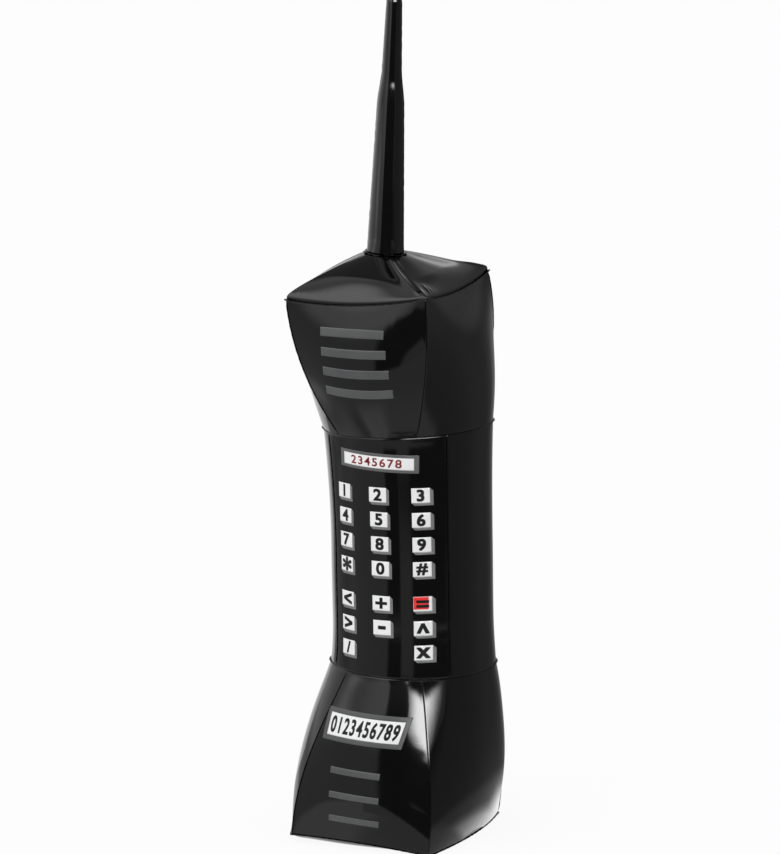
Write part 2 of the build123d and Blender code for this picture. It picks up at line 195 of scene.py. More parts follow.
def link_mesh(name: str, points: Array, quads: Array, uv: Array | None = None) -> Object:
    """Makes a smooth-shaded object from points and quads.

    Args:
        name: Name of the object and its mesh.
        points: Vertex places, (n, 3).
        quads: Vertex numbers of each face, (m, 4).
        uv: Optional place of each vertex on the surface's own map, (n, 2).

    Returns:
        The linked object, at the origin.
    """
    mesh = bpy.data.meshes.new(name)
    mesh.vertices.add(len(points))
    mesh.vertices.foreach_set("co", np.ascontiguousarray(points, np.float32).ravel())
    mesh.loops.add(quads.size)
    mesh.loops.foreach_set("vertex_index", np.ascontiguousarray(quads, np.int32).ravel())
    mesh.polygons.add(len(quads))
    mesh.polygons.foreach_set("loop_start", np.arange(0, quads.size, 4, dtype=np.int32))
    mesh.update(calc_edges=True)
    mesh.polygons.foreach_set("use_smooth", np.ones(len(quads), bool))
    if uv is not None:
        layer = mesh.uv_layers.new(name="surface")
        layer.data.foreach_set("uv", uv[quads.ravel()].astype(np.float32).ravel())
    mesh.validate()
    return add_object(name, mesh)


def rework(mesh: bpy.types.Mesh, work: Callable[[Shell], None]) -> None:
    """Opens a mesh for editing, does the work on it and writes it back.

    Args:
        mesh: The mesh.
        work: What is done to it.
    """
    shell = bmesh.new()
    shell.from_mesh(mesh)
    work(shell)
    shell.to_mesh(mesh)
    shell.free()


def clean(shell: Shell) -> None:
    """Drops vertices that no face uses, and merges those that share a place."""
    bmesh.ops.delete(shell, geom=[v for v in shell.verts if not v.link_faces], context="VERTS")
    bmesh.ops.remove_doubles(shell, verts=shell.verts, dist=SAME_PLACE)


def turn_out(shell: Shell) -> None:
    """Turns the faces of closed shells outwards."""
    bmesh.ops.recalc_face_normals(shell, faces=shell.faces)


def close_ends(shell: Shell) -> None:
    """Fills a tube's open ends, and turns its faces outwards."""
    bmesh.ops.holes_fill(shell, edges=[edge for edge in shell.edges if edge.is_boundary])
    turn_out(shell)


def grid_quads(rows: int, columns: int, wrap: bool = False) -> Array:
    """Quads of a grid whose vertices are numbered row by row.

    Args:
        rows: Vertices down the grid.
        columns: Vertices along a row.
        wrap: True where the last column joins the first.

    Returns:
        Vertex numbers, (faces, 4).
    """
    cells = np.arange(rows - 1), np.arange(columns - (not wrap))
    row, column = np.meshgrid(*cells, indexing="ij")
    after = (column + 1) % columns
    here, below = row * columns, (row + 1) * columns
    corners = (here + column, here + after, below + after, below + column)
    return np.stack(corners, -1).reshape(-1, 4)


def wall_quads(quads: Array, count: int) -> Array:
    """Closes a sheet into a thin wall: the sheet, its copy behind, and rims between.

    A rim quad stands on every edge that only one quad of the sheet has.

    Args:
        quads: The outer sheet's quads, facing outwards.
        count: Vertices in the sheet; its copy's are numbered on from there.

    Returns:
        Quads of the whole closed wall.
    """
    edges = np.concatenate([np.stack([quads[:, i], quads[:, (i + 1) % 4]], -1) for i in range(4)])
    low, high = np.sort(edges, axis=1).T
    edge_number = low * np.int64(count) + high
    _, first, times = np.unique(edge_number, return_index=True, return_counts=True)
    rim = edges[first[times == 1]]
    rims = np.stack([rim[:, 1], rim[:, 0], rim[:, 0] + count, rim[:, 1] + count], -1)
    return np.concatenate([quads, quads[:, ::-1] + count, rims])


def faces_out(points: Array, quads: Array, outward: Array) -> Array:
    """Turns all quads over if most of them face against their vertices' outward directions."""
    a, b, c, d = (points[quads[:, i]] for i in range(4))
    return quads if np.sum(np.cross(c - a, d - b) * outward[quads[:, 0]]) > 0 else quads[:, ::-1]


def sheet_wall(
    name: str,
    outer: Array,
    normal: Array,
    thickness: float,
    keep: Array | None = None,
    wrap: bool = False,
    uv: Array | None = None,
) -> Object:
    """Closed thin wall whose outer face is a grid of points.

    The inner face is each outer point moved in by the thickness along its normal.

    Args:
        name: Name of the object.
        outer: Outer face, (rows, columns, 3).
        normal: Outward unit vectors, of the same shape.
        thickness: Thickness of the wall.
        keep: Optional mask of the grid's cells, (rows - 1, columns - 1).
        wrap: True where the last column joins the first.
        uv: Optional surface map, (rows, columns, 2).

    Returns:
        The linked object.
    """
    quads = grid_quads(*outer.shape[:2], wrap)
    if keep is not None:
        quads = quads[keep.ravel()]
    front = outer.reshape(-1, 3)
    out = normal.reshape(-1, 3)
    quads = faces_out(front, quads, out)
    points = np.concatenate([front, front - out * thickness])
    chart = None if uv is None else np.tile(uv.reshape(-1, 2), (2, 1))
    item = link_mesh(name, points, wall_quads(quads, len(front)), chart)
    rework(item.data, clean)
    return item


def tube_mesh(name: str, rings: Array, closed: bool) -> Object:
    """Surface through rings of points, facing away from their middles.

    Args:
        name: Name of the object.
        rings: Places, (rings, points round, 3).
        closed: True where the last ring joins the first; else both ends are filled.

    Returns:
        The linked object.
    """
    count, around = rings.shape[:2]
    quads = grid_quads(count + closed, around, wrap=True) % (count * around)
    outward = rings - rings.mean(axis=1, keepdims=True)
    points = rings.reshape(-1, 3)
    item = link_mesh(name, points, faces_out(points, quads, outward.reshape(-1, 3)))
    if not closed:
        rework(item.data, close_ends)
    return item


def ribbon_mesh(
    name: str,
    path: Array,
    outward: Array,
    across: Array,
    lip: Array,
    wave: Array,
    half: float | Array,
    closed: bool,
) -> Object:
    """Welded margin: a flat ribbon with a rounded rim, carried along a path.

    Each ring is a slim loop from the root inside the film out to the lip. The wave
    moves it across, in full at the lip and not at all at the root.

    Args:
        name: Name of the object.
        path: Places along the weld, (n, 3).
        outward: Unit vectors away from the film, (n, 3).
        across: Unit vectors across the ribbon, (n, 3).
        lip: How far the ribbon stands proud at each place, (n,).
        wave: Sideways wave of the lip, (n,).
        half: Half the ribbon's thickness, the same all along or at each place.
        closed: True where the path comes back to its start.

    Returns:
        The linked object.
    """
    out_share = np.array([0.0, 0.5, 0.85, 1.0, 1.0, 0.85, 0.5, 0.0])
    half_share = np.array([1.0, 1.0, 0.9, 0.4, -0.4, -0.9, -1.0, -1.0])
    side = half_share * np.broadcast_to(half, lip.shape)[:, None]
    reach = (lip + WELD_ROOT)[:, None] * out_share - WELD_ROOT
    shift = side + wave[:, None] * out_share
    rings = path[:, None] + outward[:, None] * reach[..., None] + across[:, None] * shift[..., None]
    return tube_mesh(name, rings, closed)


def join(name: str, items: Sequence[Object]) -> Object:
    """Joins several mesh objects into one new object.

    Args:
        name: Name of the joined object.
        items: Objects to join; they are removed.

    Returns:
        The joined object.
    """
    shell = bmesh.new()
    for item in items:
        shell.from_mesh(item.data)
        bpy.data.objects.remove(item)
    mesh = bpy.data.meshes.new(name)
    shell.to_mesh(mesh)
    shell.free()
    return add_object(name, mesh)


# --- the shapes
@dataclass(frozen=True)
class Spine:
    """Bent middle line of the body, a parabola between the foot and top seams."""

    foot: float
    top: float
    bend: float = 8.7 * MM
    kink: float = 1.3 * MM
    kink_at: float = 150 * MM
    kink_reach: float = 50 * MM
    foot_ease: float = 0.3
    ease_height: float = 70 * MM
    step: float = 0.1 * MM

    def offset(self, height: Array) -> Array:
        """Sideways place: a parabola of the bend, and a kink that is a bell curve."""
        share = (2 * height - self.foot - self.top) / (self.top - self.foot)
        return self.bend * (1 - share**2) + self.kink * bell(height, self.kink_at, self.kink_reach)

    def slope(self, height: Array) -> Array:
        """Sideways step for each step up."""
        return (self.offset(height + self.step) - self.offset(height - self.step)) / (2 * self.step)

    def tilt(self, height: Array) -> Array:
        """Tilt of the section: the slope, less a share of it where the foot stands level."""
        near = 1 - smoothstep(self.foot, self.foot + self.ease_height, height)
        return self.slope(height) * (1 - self.foot_ease * near)

    def place(self, x: Array, y: Array, height: Array) -> Array:
        """Points of tilted sections: x runs along (1, 0, -tilt), y stays.

        Args:
            x: Across the section.
            y: Towards the back.
            height: Height of the section's middle.

        Returns:
            Places in the frame, (..., 3).
        """
        tilt = self.tilt(height)
        across = x / np.sqrt(1 + tilt**2)
        parts = np.broadcast_arrays(self.offset(height) + across, y, height - tilt * across)
        return np.stack(parts, -1)

    def height_of(self, x: Array, z: Array, rounds: int = 3) -> Array:
        """Height of the section through a place in the front view, by rounds of aim.

        Args:
            x: Place across.
            z: Height of the place.
            rounds: How often the aim is mended.

        Returns:
            Height of the section's middle.
        """
        height = np.array(z, float)
        for _ in range(rounds):
            height = z + self.tilt(height) * (x - self.offset(height))
        return height


@dataclass
class Outline:
    """Four arcs on four corners, as a function of share: corners and rises of the arcs."""

    corners: Callable[[Array], Array]
    rises: Callable[[Array], Array]

    @classmethod
    def blend(
        cls,
        corners: tuple[Array, Array],
        rises: tuple[Array, Array],
        swells: tuple[Array | float, Array],
        power: float = 1.0,
        pop: Array | float = 0.0,
        pop_place: float = 1.0,
    ) -> "Outline":
        """Outline that runs straight from one end to the other, and swells between.

        Args:
            corners: Corners of the two ends, (4, 2) each.
            rises: Arc rises of the two ends, (4,) each.
            swells: What the corners and the rises gain between the ends, times
                4 t (1 - t), with t = 1 - (1 - share)^power.
            power: Over 1, it moves the swells towards the first end.
            pop: How far the corners stand out just short of the last end, times
                d e^(1 - d), d being what is left of the way over the pop's place.
            pop_place: Share of the way, from the last end, where the pop is largest.

        Returns:
            The outline.
        """

        def mix(share: Array, axes: int, ends: tuple, swell: Array) -> Array:
            """Straight blend of the two ends, and the swell on it.

            Args:
                share: Along the way.
                axes: How many axes an end's values have.
                ends: Values at the two ends.
                swell: What they gain between.

            Returns:
                The values.
            """
            s = np.asarray(share, float)[(...,) + (None,) * axes]
            t = 1 - (1 - np.clip(s, 0, 1)) ** power
            return lerp(*ends, s) + swell * arch(t)

        def popped(share: Array) -> Array:
            """Corner places with their pop."""
            left = (1 - np.asarray(share, float)[..., None, None]) / pop_place
            return mix(share, 2, corners, swells[0]) + pop * hump(left)

        return cls(popped, lambda share: mix(share, 1, rises, swells[1]))

    def chord(self, side: int, share: Array) -> tuple[Array, ...]:
        """Start and end corner of a side, its directions, half length and rise.

        Args:
            side: Number of the side.
            share: Where along the tier, any shape.

        Returns:
            Start, end, way along and way out (..., 2), then half length and rise (...).
        """
        corners = self.corners(share)
        start, end = corners[..., side, :], corners[..., (side + 1) % SIDES, :]
        half = np.linalg.norm(end - start, axis=-1) / 2
        along = (end - start) / (2 * half[..., None])
        outward = np.stack([along[..., 1], -along[..., 0]], -1)
        return start, end, along, outward, half, self.rises(share)[..., side]

    def point(self, side: int, u: Array, share: Array) -> tuple[Array, Array]:
        """Place on a side's arc: radius from chord and rise, angle straight in u.

        Args:
            side: Number of the side.
            u: 0 at the start corner, 1 at the end corner.
            share: Where along the tier.

        Returns:
            x and y in the section.
        """
        start, end, along, outward, half, rise = self.chord(side, share)
        reach = 2 * np.arctan2(rise, half)
        radius = half / np.sin(reach)
        turn = (2 * u - 1) * reach
        shift = radius * np.sin(turn)
        bulge = radius * (np.cos(turn) - np.cos(reach))
        place = (start + end) / 2 + along * shift[..., None] + outward * bulge[..., None]
        return place[..., 0], place[..., 1]


def rectangle(width: float, depth: float) -> Array:
    """Corners of a level rectangle, counted round from the front left."""
    return np.array([(-1, -1), (1, -1), (1, 1), (-1, 1)]) * (width / 2, depth / 2)


def ring_corners(radius: Array, angle: float, turn: float = 0.0, setback: float = 0.0) -> Array:
    """Corners on a circle that is set back, an angle to each side of front and back."""
    bearing = np.radians(np.array([-angle, angle, 180 - angle, 180 + angle]) + turn)
    return np.multiply.outer(radius, np.array([np.sin(bearing), -np.cos(bearing)]).T) + (0, setback)


def ring_rises(radius: Array, angle: float) -> Array:
    """Rises of a circle's four arcs: its radius less the distance to each chord."""
    narrow, wide = 1 - math.cos(math.radians(angle)), 1 - math.sin(math.radians(angle))
    return np.multiply.outer(radius, [narrow, wide, narrow, wide])


@dataclass
class Skin:
    """One tier's film: a shape from u and share, plus the relief of its wrinkles."""

    spine: Spine
    outline: Outline
    start: float
    end: float
    seed: int
    swell: float = 0.18 * MM
    swell_length: float = 95 * MM
    first: Pucker = Pucker(0.06 * MM, 13 * MM, 13 * MM)
    last: Pucker = Pucker(0.05 * MM, 12 * MM, 12 * MM)
    hem: Pucker = Pucker(0.04 * MM, 17 * MM, 7 * MM)
    fan: float = 1.2
    hold_ends: float = 5 * MM
    hold_sides: float = 4 * MM
    dip: float = 0.0
    dip_fade: float = 0.4
    nod: Pair = (0.0, 0.0)
    tuck: float = 0.0
    tuck_place: float = 26 * MM
    tuck_sides: float = 12 * MM

    def smooth(self, side: int, u: Array, share: Array) -> Array:
        """The unwrinkled film: arcs on the spine's sections, with the first weld let down.

        The weld dips midway along each side by 4 u (1 - u), and nods by its place. Both
        fade away along the tier.

        Args:
            side: Number of the side.
            u: Across the side.
            share: Along the tier.

        Returns:
            Places, (..., 3).
        """
        x, y = self.outline.point(side, u, share)
        place = self.spine.place(x, y, lerp(self.start, self.end, share))
        nod = (self.nod[0] * x + self.nod[1] * y) * (1 - share)
        place[..., 2] += nod - self.dip * arch(u) * (1 - smoothstep(0.0, self.dip_fade, share))
        return place

    def normal(self, side: int, u: Array, share: Array) -> Array:
        """Outward unit vectors, from small steps in u and share.

        Args:
            side: Number of the side.
            u: Across the side.
            share: Along the tier.

        Returns:
            Unit vectors, (..., 3).
        """
        low_u, high_u = (np.clip(u + step, 0, 1) for step in (-SMALL_STEP, SMALL_STEP))
        low_s, high_s = (np.clip(share + step, 0, 1) for step in (-SMALL_STEP, SMALL_STEP))
        across = self.smooth(side, high_u, share) - self.smooth(side, low_u, share)
        down = self.smooth(side, u, high_s) - self.smooth(side, u, low_s)
        facing = unit(np.cross(across, down))
        return facing if self.start < self.end else -facing

    def relief(self, side: int, u: Array, share: Array) -> Array:
        """Wrinkles: puckers that fan out and fade away from the welds, over a slow swell.

        They sink to nothing on the welds. The front is also drawn in by the tuck times
        d e^(1 - d), d being the distance from the first weld over the tuck's place.

        Args:
            side: Number of the side.
            u: Across the side.
            share: Along the tier.

        Returns:
            Height over the smooth film.
        """
        *_, half, _ = self.outline.chord(side, share)
        across = (u - 0.5) * 2 * half
        length = abs(self.end - self.start)
        near, far = share * length, (1 - share) * length
        edge = np.minimum(u, 1 - u) * 2 * half
        seed = self.seed + 10 * side
        total = self.first.lift(across * (1 + self.fan * near), near, seed)
        total = total + self.last.lift(across * (1 + self.fan * far), far, seed + 1)
        total = total + self.hem.lift(near, edge, seed + 2)
        total = total + self.swell * waves(across, near, self.swell_length, seed + 3)
        for distance in (near, far):
            total = total * smoothstep(0, self.hold_ends, distance)
        total = total * smoothstep(0, self.hold_sides, edge)
        if side != Side.FRONT.value:
            return total
        drawn = self.tuck * hump(near / self.tuck_place)
        return total - drawn * smoothstep(0, self.tuck_sides, edge)

    def surface(self, side: int, u: Array, share: Array, lift: float = 0.0) -> Array:
        """The wrinkled film, or a layer lifted off it along the smooth normal."""
        height = self.relief(side, u, share) + lift
        return self.smooth(side, u, share) + self.normal(side, u, share) * height[..., None]

    def locate(self, x: Array, z: Array, rounds: int = 6) -> tuple[Array, Array]:
        """Where a place in the front view lies on the front side, by rounds of aim.

        The aim starts midway across, at the section's height. Each round takes off the
        miss, by the slopes of x and z over small steps in u and in share.

        Args:
            x: Place across.
            z: Height.
            rounds: How often the aim is mended.

        Returns:
            u and share.
        """
        u = np.full(np.shape(x), 0.5)
        share = (self.spine.height_of(x, z) - self.start) / (self.end - self.start)
        for _ in range(rounds):
            here = self.smooth(0, u, share)
            by_u = (self.smooth(0, u + SMALL_STEP, share) - here) / SMALL_STEP
            by_share = (self.smooth(0, u, share + SMALL_STEP) - here) / SMALL_STEP
            miss_x, miss_z = x - here[..., 0], z - here[..., 2]
            cross = by_u[..., 0] * by_share[..., 2] - by_share[..., 0] * by_u[..., 2]
            u = u + (miss_x * by_share[..., 2] - miss_z * by_share[..., 0]) / cross
            share = share + (miss_z * by_u[..., 0] - miss_x * by_u[..., 2]) / cross
        return u, share

    def front_layer(self, x: Array, z: Array, lift: float) -> tuple[Array, Array]:
        """Points over the front film at places of the front view, with their normals."""
        u, share = self.locate(x, z)
        return self.surface(0, u, share, lift), self.normal(0, u, share)


# --- the finishes
class NodeMaker:
    """Short way to add and link the shader nodes of one material or world."""

    def __init__(self, owner: bpy.types.Material | bpy.types.World, output: str) -> None:
        """Clears the owner's nodes and adds its output.

        Args:
            owner: The material or world.
            output: Type of its output, after the word ShaderNode.
        """
        owner.use_nodes = True
        self.tree = owner.node_tree
        self.tree.nodes.clear()
        self.output = self.add(output)

    def add(self, kind: str, inputs: dict | None = None, **values: object) -> bpy.types.Node:
        """Adds a node, sets its attributes and sockets and links its inputs.

        Args:
            kind: Node type after the word ShaderNode.
            inputs: Input name or number to the output socket that feeds it, or its value.
            values: Attributes of the node, or input names.

        Returns:
            The node.
        """
        node = self.tree.nodes.new("ShaderNode" + kind)
        for key, value in values.items():
            if hasattr(node, key):
                setattr(node, key, value)
            else:
                node.inputs[key].default_value = value
        for key, source in (inputs or {}).items():
            if isinstance(source, Socket):
                self.tree.links.new(source, node.inputs[key])
            else:
                node.inputs[key].default_value = source
        return node

    def show(self, shader: bpy.types.Node) -> None:
        """Links a shader to the output."""
        self.tree.links.new(shader.outputs[0], self.output.inputs["Surface"])

    def noise(self, where: Socket, scale: float, detail: float = 2.0, rough: float = 0.5) -> Socket:
        """Noise texture's factor at a scale, in waves a metre."""
        node = self.add("TexNoise", {"Vector": where}, Scale=scale, Detail=detail, Roughness=rough)
        return node.outputs["Fac"]

    def ranged(
        self,
        source: Socket,
        low: float,
        high: float,
        start: float = 0.3,
        end: float = 0.7,
    ) -> Socket:
        """Carries a factor from start..end to low..high."""
        node = self.add("MapRange", {0: source, 1: start, 2: end, 3: low, 4: high})
        return node.outputs["Result"]

    def seen(self) -> Socket:
        """Tells rays of the camera, of gloss and of clear things from others.

        Returns:
            1 for those, 0 for others.
        """
        path = self.add("LightPath").outputs
        shown = path["Is Camera Ray"]
        for kind in ("Is Glossy Ray", "Is Transmission Ray"):
            shown = self.add("Math", {0: shown, 1: path[kind]}, operation="MAXIMUM").outputs[0]
        return shown


@dataclass(frozen=True)
class Finish:
    """One surface finish: base colour, gloss, and the fine structure of its bump."""

    name: str
    slot: str
    light: Colour
    dark: Colour
    rough: Pair
    grain: Grain = Grain.FINE
    ior: float = 1.42
    bump: float = 0.12
    bump_depth: float = 0.2 * MM
    see_through: float = 0.0
    dust: float = 0.0
    dust_scale: float = 260.0
    dust_size: float = 0.07
    streaks: Colour = (1.0, 1.0, 0.35)

    def material(self) -> bpy.types.Material:
        """Node material: one noise mixes the colour, others drive gloss and bump.

        The gloss is dulled by specks of dust. The bump is a fine grain, less of it where
        a slower noise, drawn out along the film, is low.

        Returns:
            The material.
        """
        material = bpy.data.materials.new(self.name)
        make = NodeMaker(material, "OutputMaterial")
        where = make.add("TexCoord").outputs["Object"]
        mottle = make.ranged(make.noise(where, 38.0, 4.0, 0.6), 0.0, 1.0)
        shades = {"Factor": mottle, "A": (*self.dark, 1), "B": (*self.light, 1)}
        colour = make.add("Mix", shades, data_type="RGBA").outputs["Result"]
        gloss = make.ranged(make.noise(where, 16.0, 5.0, 0.65), *self.rough)
        if self.dust:
            dust = make.add("TexVoronoi", {"Vector": where}, Scale=self.dust_scale, feature="F1")
            specks = make.ranged(dust.outputs["Distance"], self.dust, 0.0, 0.0, self.dust_size)
            gloss = make.add("Math", {0: gloss, 1: specks}, operation="ADD").outputs[0]
        drawn = make.add("Mapping", {"Vector": where, "Scale": self.streaks}).outputs["Vector"]
        slow = make.ranged(make.noise(drawn, 55.0, 3.0, 0.55), 0.0, 3.0, 0.0, 1.0)
        fine = make.noise(where, self.grain.value)
        height = make.add("Math", {0: fine, 1: 0.35, 2: slow}, operation="MULTIPLY_ADD").outputs[0]
        bump = make.add("Bump", {"Height": height}, Strength=self.bump, Distance=self.bump_depth)
        surface = {
            "Base Color": colour,
            "Roughness": gloss,
            "Normal": bump.outputs[0],
            "IOR": self.ior,
            "Transmission Weight": self.see_through,
        }
        make.show(make.add("BsdfPrincipled", surface))
        return material

    def dress(self, item: Object, made: dict[str, bpy.types.Material]) -> None:
        """Gives an object this finish alone, making its material once.

        Args:
            item: Object to dress.
            made: Materials made so far, by name.
        """
        if self.name not in made:
            made[self.name] = self.material()
        item.data.materials.clear()
        item.data.materials.append(made[self.name])


BLACK_FILM = Finish(
    "black_film",
    "black_film",
    light=(0.0022, 0.0022, 0.0024),
    dark=(0.0014, 0.0014, 0.0015),
    rough=(0.05, 0.09),
    grain=Grain.FILM,
    dust=0.06,
)
BLACK_WELD = Finish(
    "black_weld",
    "black_weld",
    light=(0.0026, 0.0026, 0.0028),
    dark=(0.0016, 0.0016, 0.0018),
    rough=(0.08, 0.16),
    grain=Grain.FILM,
    bump=0.3,
)
GREY_INK = Finish("grey_ink", "grey_ink", (0.085, 0.088, 0.088), (0.068, 0.071, 0.072), (0.3, 0.42))
FRAME_INK = Finish("frame_ink", "grey_ink", (0.115, 0.118, 0.118), (0.095, 0.098, 0.1), (0.3, 0.42))
SHADOW_INK = Finish(
    "shadow_ink", "shadow_ink", (0.19, 0.192, 0.192), (0.15, 0.153, 0.155), (0.3, 0.42)
)
WHITE_INK = Finish("white_ink", "white_ink", (0.9, 0.9, 0.905), (0.85, 0.85, 0.855), (0.26, 0.36))
RED_INK = Finish("red_ink", "red_ink", (0.92, 0.02, 0.02), (0.8, 0.012, 0.014), (0.26, 0.36))
DIGIT_INK = Finish(
    "digit_ink", "black_film", (0.012, 0.012, 0.013), (0.006, 0.006, 0.006), (0.26, 0.36)
)
DISPLAY_INK = Finish("display_ink", "red_ink", (0.42, 0.03, 0.03), (0.3, 0.012, 0.015), (0.3, 0.4))
MILKY_VINYL = Finish(
    "milky_vinyl",
    "valve_vinyl",
    light=(0.62, 0.63, 0.63),
    dark=(0.5, 0.515, 0.52),
    rough=(0.22, 0.34),
    see_through=0.25,
)


@dataclass
class Workshop:
    """What every sub-assembly needs: the body that pieces ride on, and the finishes made."""

    body: str = "phone"
    made: dict[str, bpy.types.Material] = field(default_factory=dict)

    def fit(self, item: Object, finish: Finish, *nodes: str) -> None:
        """Dresses a piece, lets it ride on the body and hides the nodes it stands for.

        Args:
            item: The piece.
            finish: Its finish.
            nodes: Nodes that it replaces, if any.
        """
        finish.dress(item, self.made)
        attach(item, self.body)
        if nodes:
            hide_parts(*nodes)
        log.info("%s: %d vertices", item.name, len(item.data.vertices))


# --- the welds
@dataclass(frozen=True)
class Margin:
    """Sizes of a level weld's margin: its lip, its ripples, its ears and its flares.

    The lip is rippled by a share of itself, and waves up and down. Ears stand at the
    corners, as wide as a share of a side, and curl up. Flares stand at bearings, in
    degrees from the front.
    """

    lip: float = 0.8 * MM
    half: float = 0.22 * MM
    rag: float = 0.25
    rag_length: float = 9 * MM
    wave: float = 0.15 * MM
    wave_length: float = 7 * MM
    ear: float = 0.0
    curl: float = 0.0
    ear_width: float = 0.045
    flares: tuple[float, ...] = ()
    flare_size: float = 1.6 * MM
    flare_width: float = 12.0
    seed: int = 5

    def mesh(self, name: str, places: Array, outward: Array, up: Array) -> Object:
        """The margin round a closed path that starts at a corner.

        Args:
            name: Its name.
            places: Places round the path, as many on each of the four sides, (n, 3).
            outward: Outward unit vectors, (n, 3).
            up: Upward unit vectors, (n, 3).

        Returns:
            The linked object.
        """
        along = np.cumsum(np.linalg.norm(np.diff(places, axis=0, append=places[:1]), axis=1))
        quarter = np.linspace(0, SIDES, len(places), endpoint=False) % 1
        corner = bell(np.minimum(quarter, 1 - quarter), 0, self.ear_width)
        ragged = 1 + self.rag * ripple(along, self.rag_length, self.seed)
        lip = self.lip * ragged + self.ear * corner
        bearing = np.degrees(np.arctan2(outward[:, 0], -outward[:, 1]))
        for flare in self.flares:
            lip += self.flare_size * bell((bearing - flare + 180) % 360 - 180, 0, self.flare_width)
        wave = self.wave * ripple(along, self.wave_length, self.seed + 1) + self.curl * corner
        half = self.half + self.ear * 0.5 * corner
        return ribbon_mesh(name, places, outward, up, lip, wave, half, closed=True)


WAIST = Margin(lip=0.1 * MM, wave=0.04 * MM, half=0.07 * MM, flares=(-66.0, 114.0), seed=6)


@dataclass(frozen=True)
class Blade:
    """Sizes of an upright weld's thin margin: its lip, ripple and sideways wave."""

    lip: float
    rag: float = 0.12 * MM
    rag_length: float = 11 * MM
    wave: float = 0.1 * MM
    wave_length: float = 8 * MM
    least: float = 0.0

    def mesh(
        self,
        path: Array,
        outward: Array,
        across: Array,
        along: Array,
        seeds: tuple[int, int],
        ends: Array | float = 1.0,
    ) -> Object:
        """The margin along an open path.

        Args:
            path: Places along the weld, (n, 3).
            outward: Unit vectors away from the film, (n, 3).
            across: Unit vectors across the margin, (n, 3).
            along: Distance along the weld, (n,).
            seeds: Numbers that pick the ripple and the wave.
            ends: Share of the full lip over its least height.

        Returns:
            The linked object.
        """
        lip = self.least + (self.lip + self.rag * ripple(along, self.rag_length, seeds[0])) * ends
        wave = self.wave * ripple(along, self.wave_length, seeds[1])
        return ribbon_mesh("blade", path, outward, across, lip, wave, BLADE_HALF, closed=False)


# --- the body
def seam_height(node: str) -> float:
    """Middle height of a level weld, from its node's box."""
    low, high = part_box(node)
    return (low.z + high.z) / 2


@dataclass(frozen=True)
class Block:
    """A tier that is square at its end weld and round at its waist.

    The square end's right and left sides have rises of their own. Between the ends the
    corners swell along their diagonals, the front and back faces alike, and the right and
    left sides by their own amounts. A bulge over 1 moves the swells towards the square
    end. The pop is how far the right corners stand out just past the waist.
    """

    width: float
    depth: float
    side_rises: Pair
    radius: float
    angle: float
    corner_swell: float
    side_swells: Pair
    face_swell: float = 7.2 * MM
    bulge: float = 1.0
    pop: float = 0.0
    pop_place: float = 0.137

    def outline(self) -> Outline:
        """The tier's outline.

        Returns:
            Outline from the square end (0) to the waist (1).
        """
        square = rectangle(self.width, self.depth)
        diagonal = np.sign(square) / math.sqrt(2)
        right = square[:, :1] > 0

        def round_way(front: float, sides: Pair) -> Array:
            """Values of the four sides, the back's being the front's."""
            return np.array([front, sides[0], front, sides[1]])

        return Outline.blend(
            (square, ring_corners(self.radius, self.angle, setback=SETBACK)),
            (round_way(EDGE_RISE, self.side_rises), ring_rises(self.radius, self.angle)),
            (diagonal * self.corner_swell, round_way(self.face_swell, self.side_swells)),
            self.bulge,
            diagonal * right * self.pop,
            self.pop_place,
        )


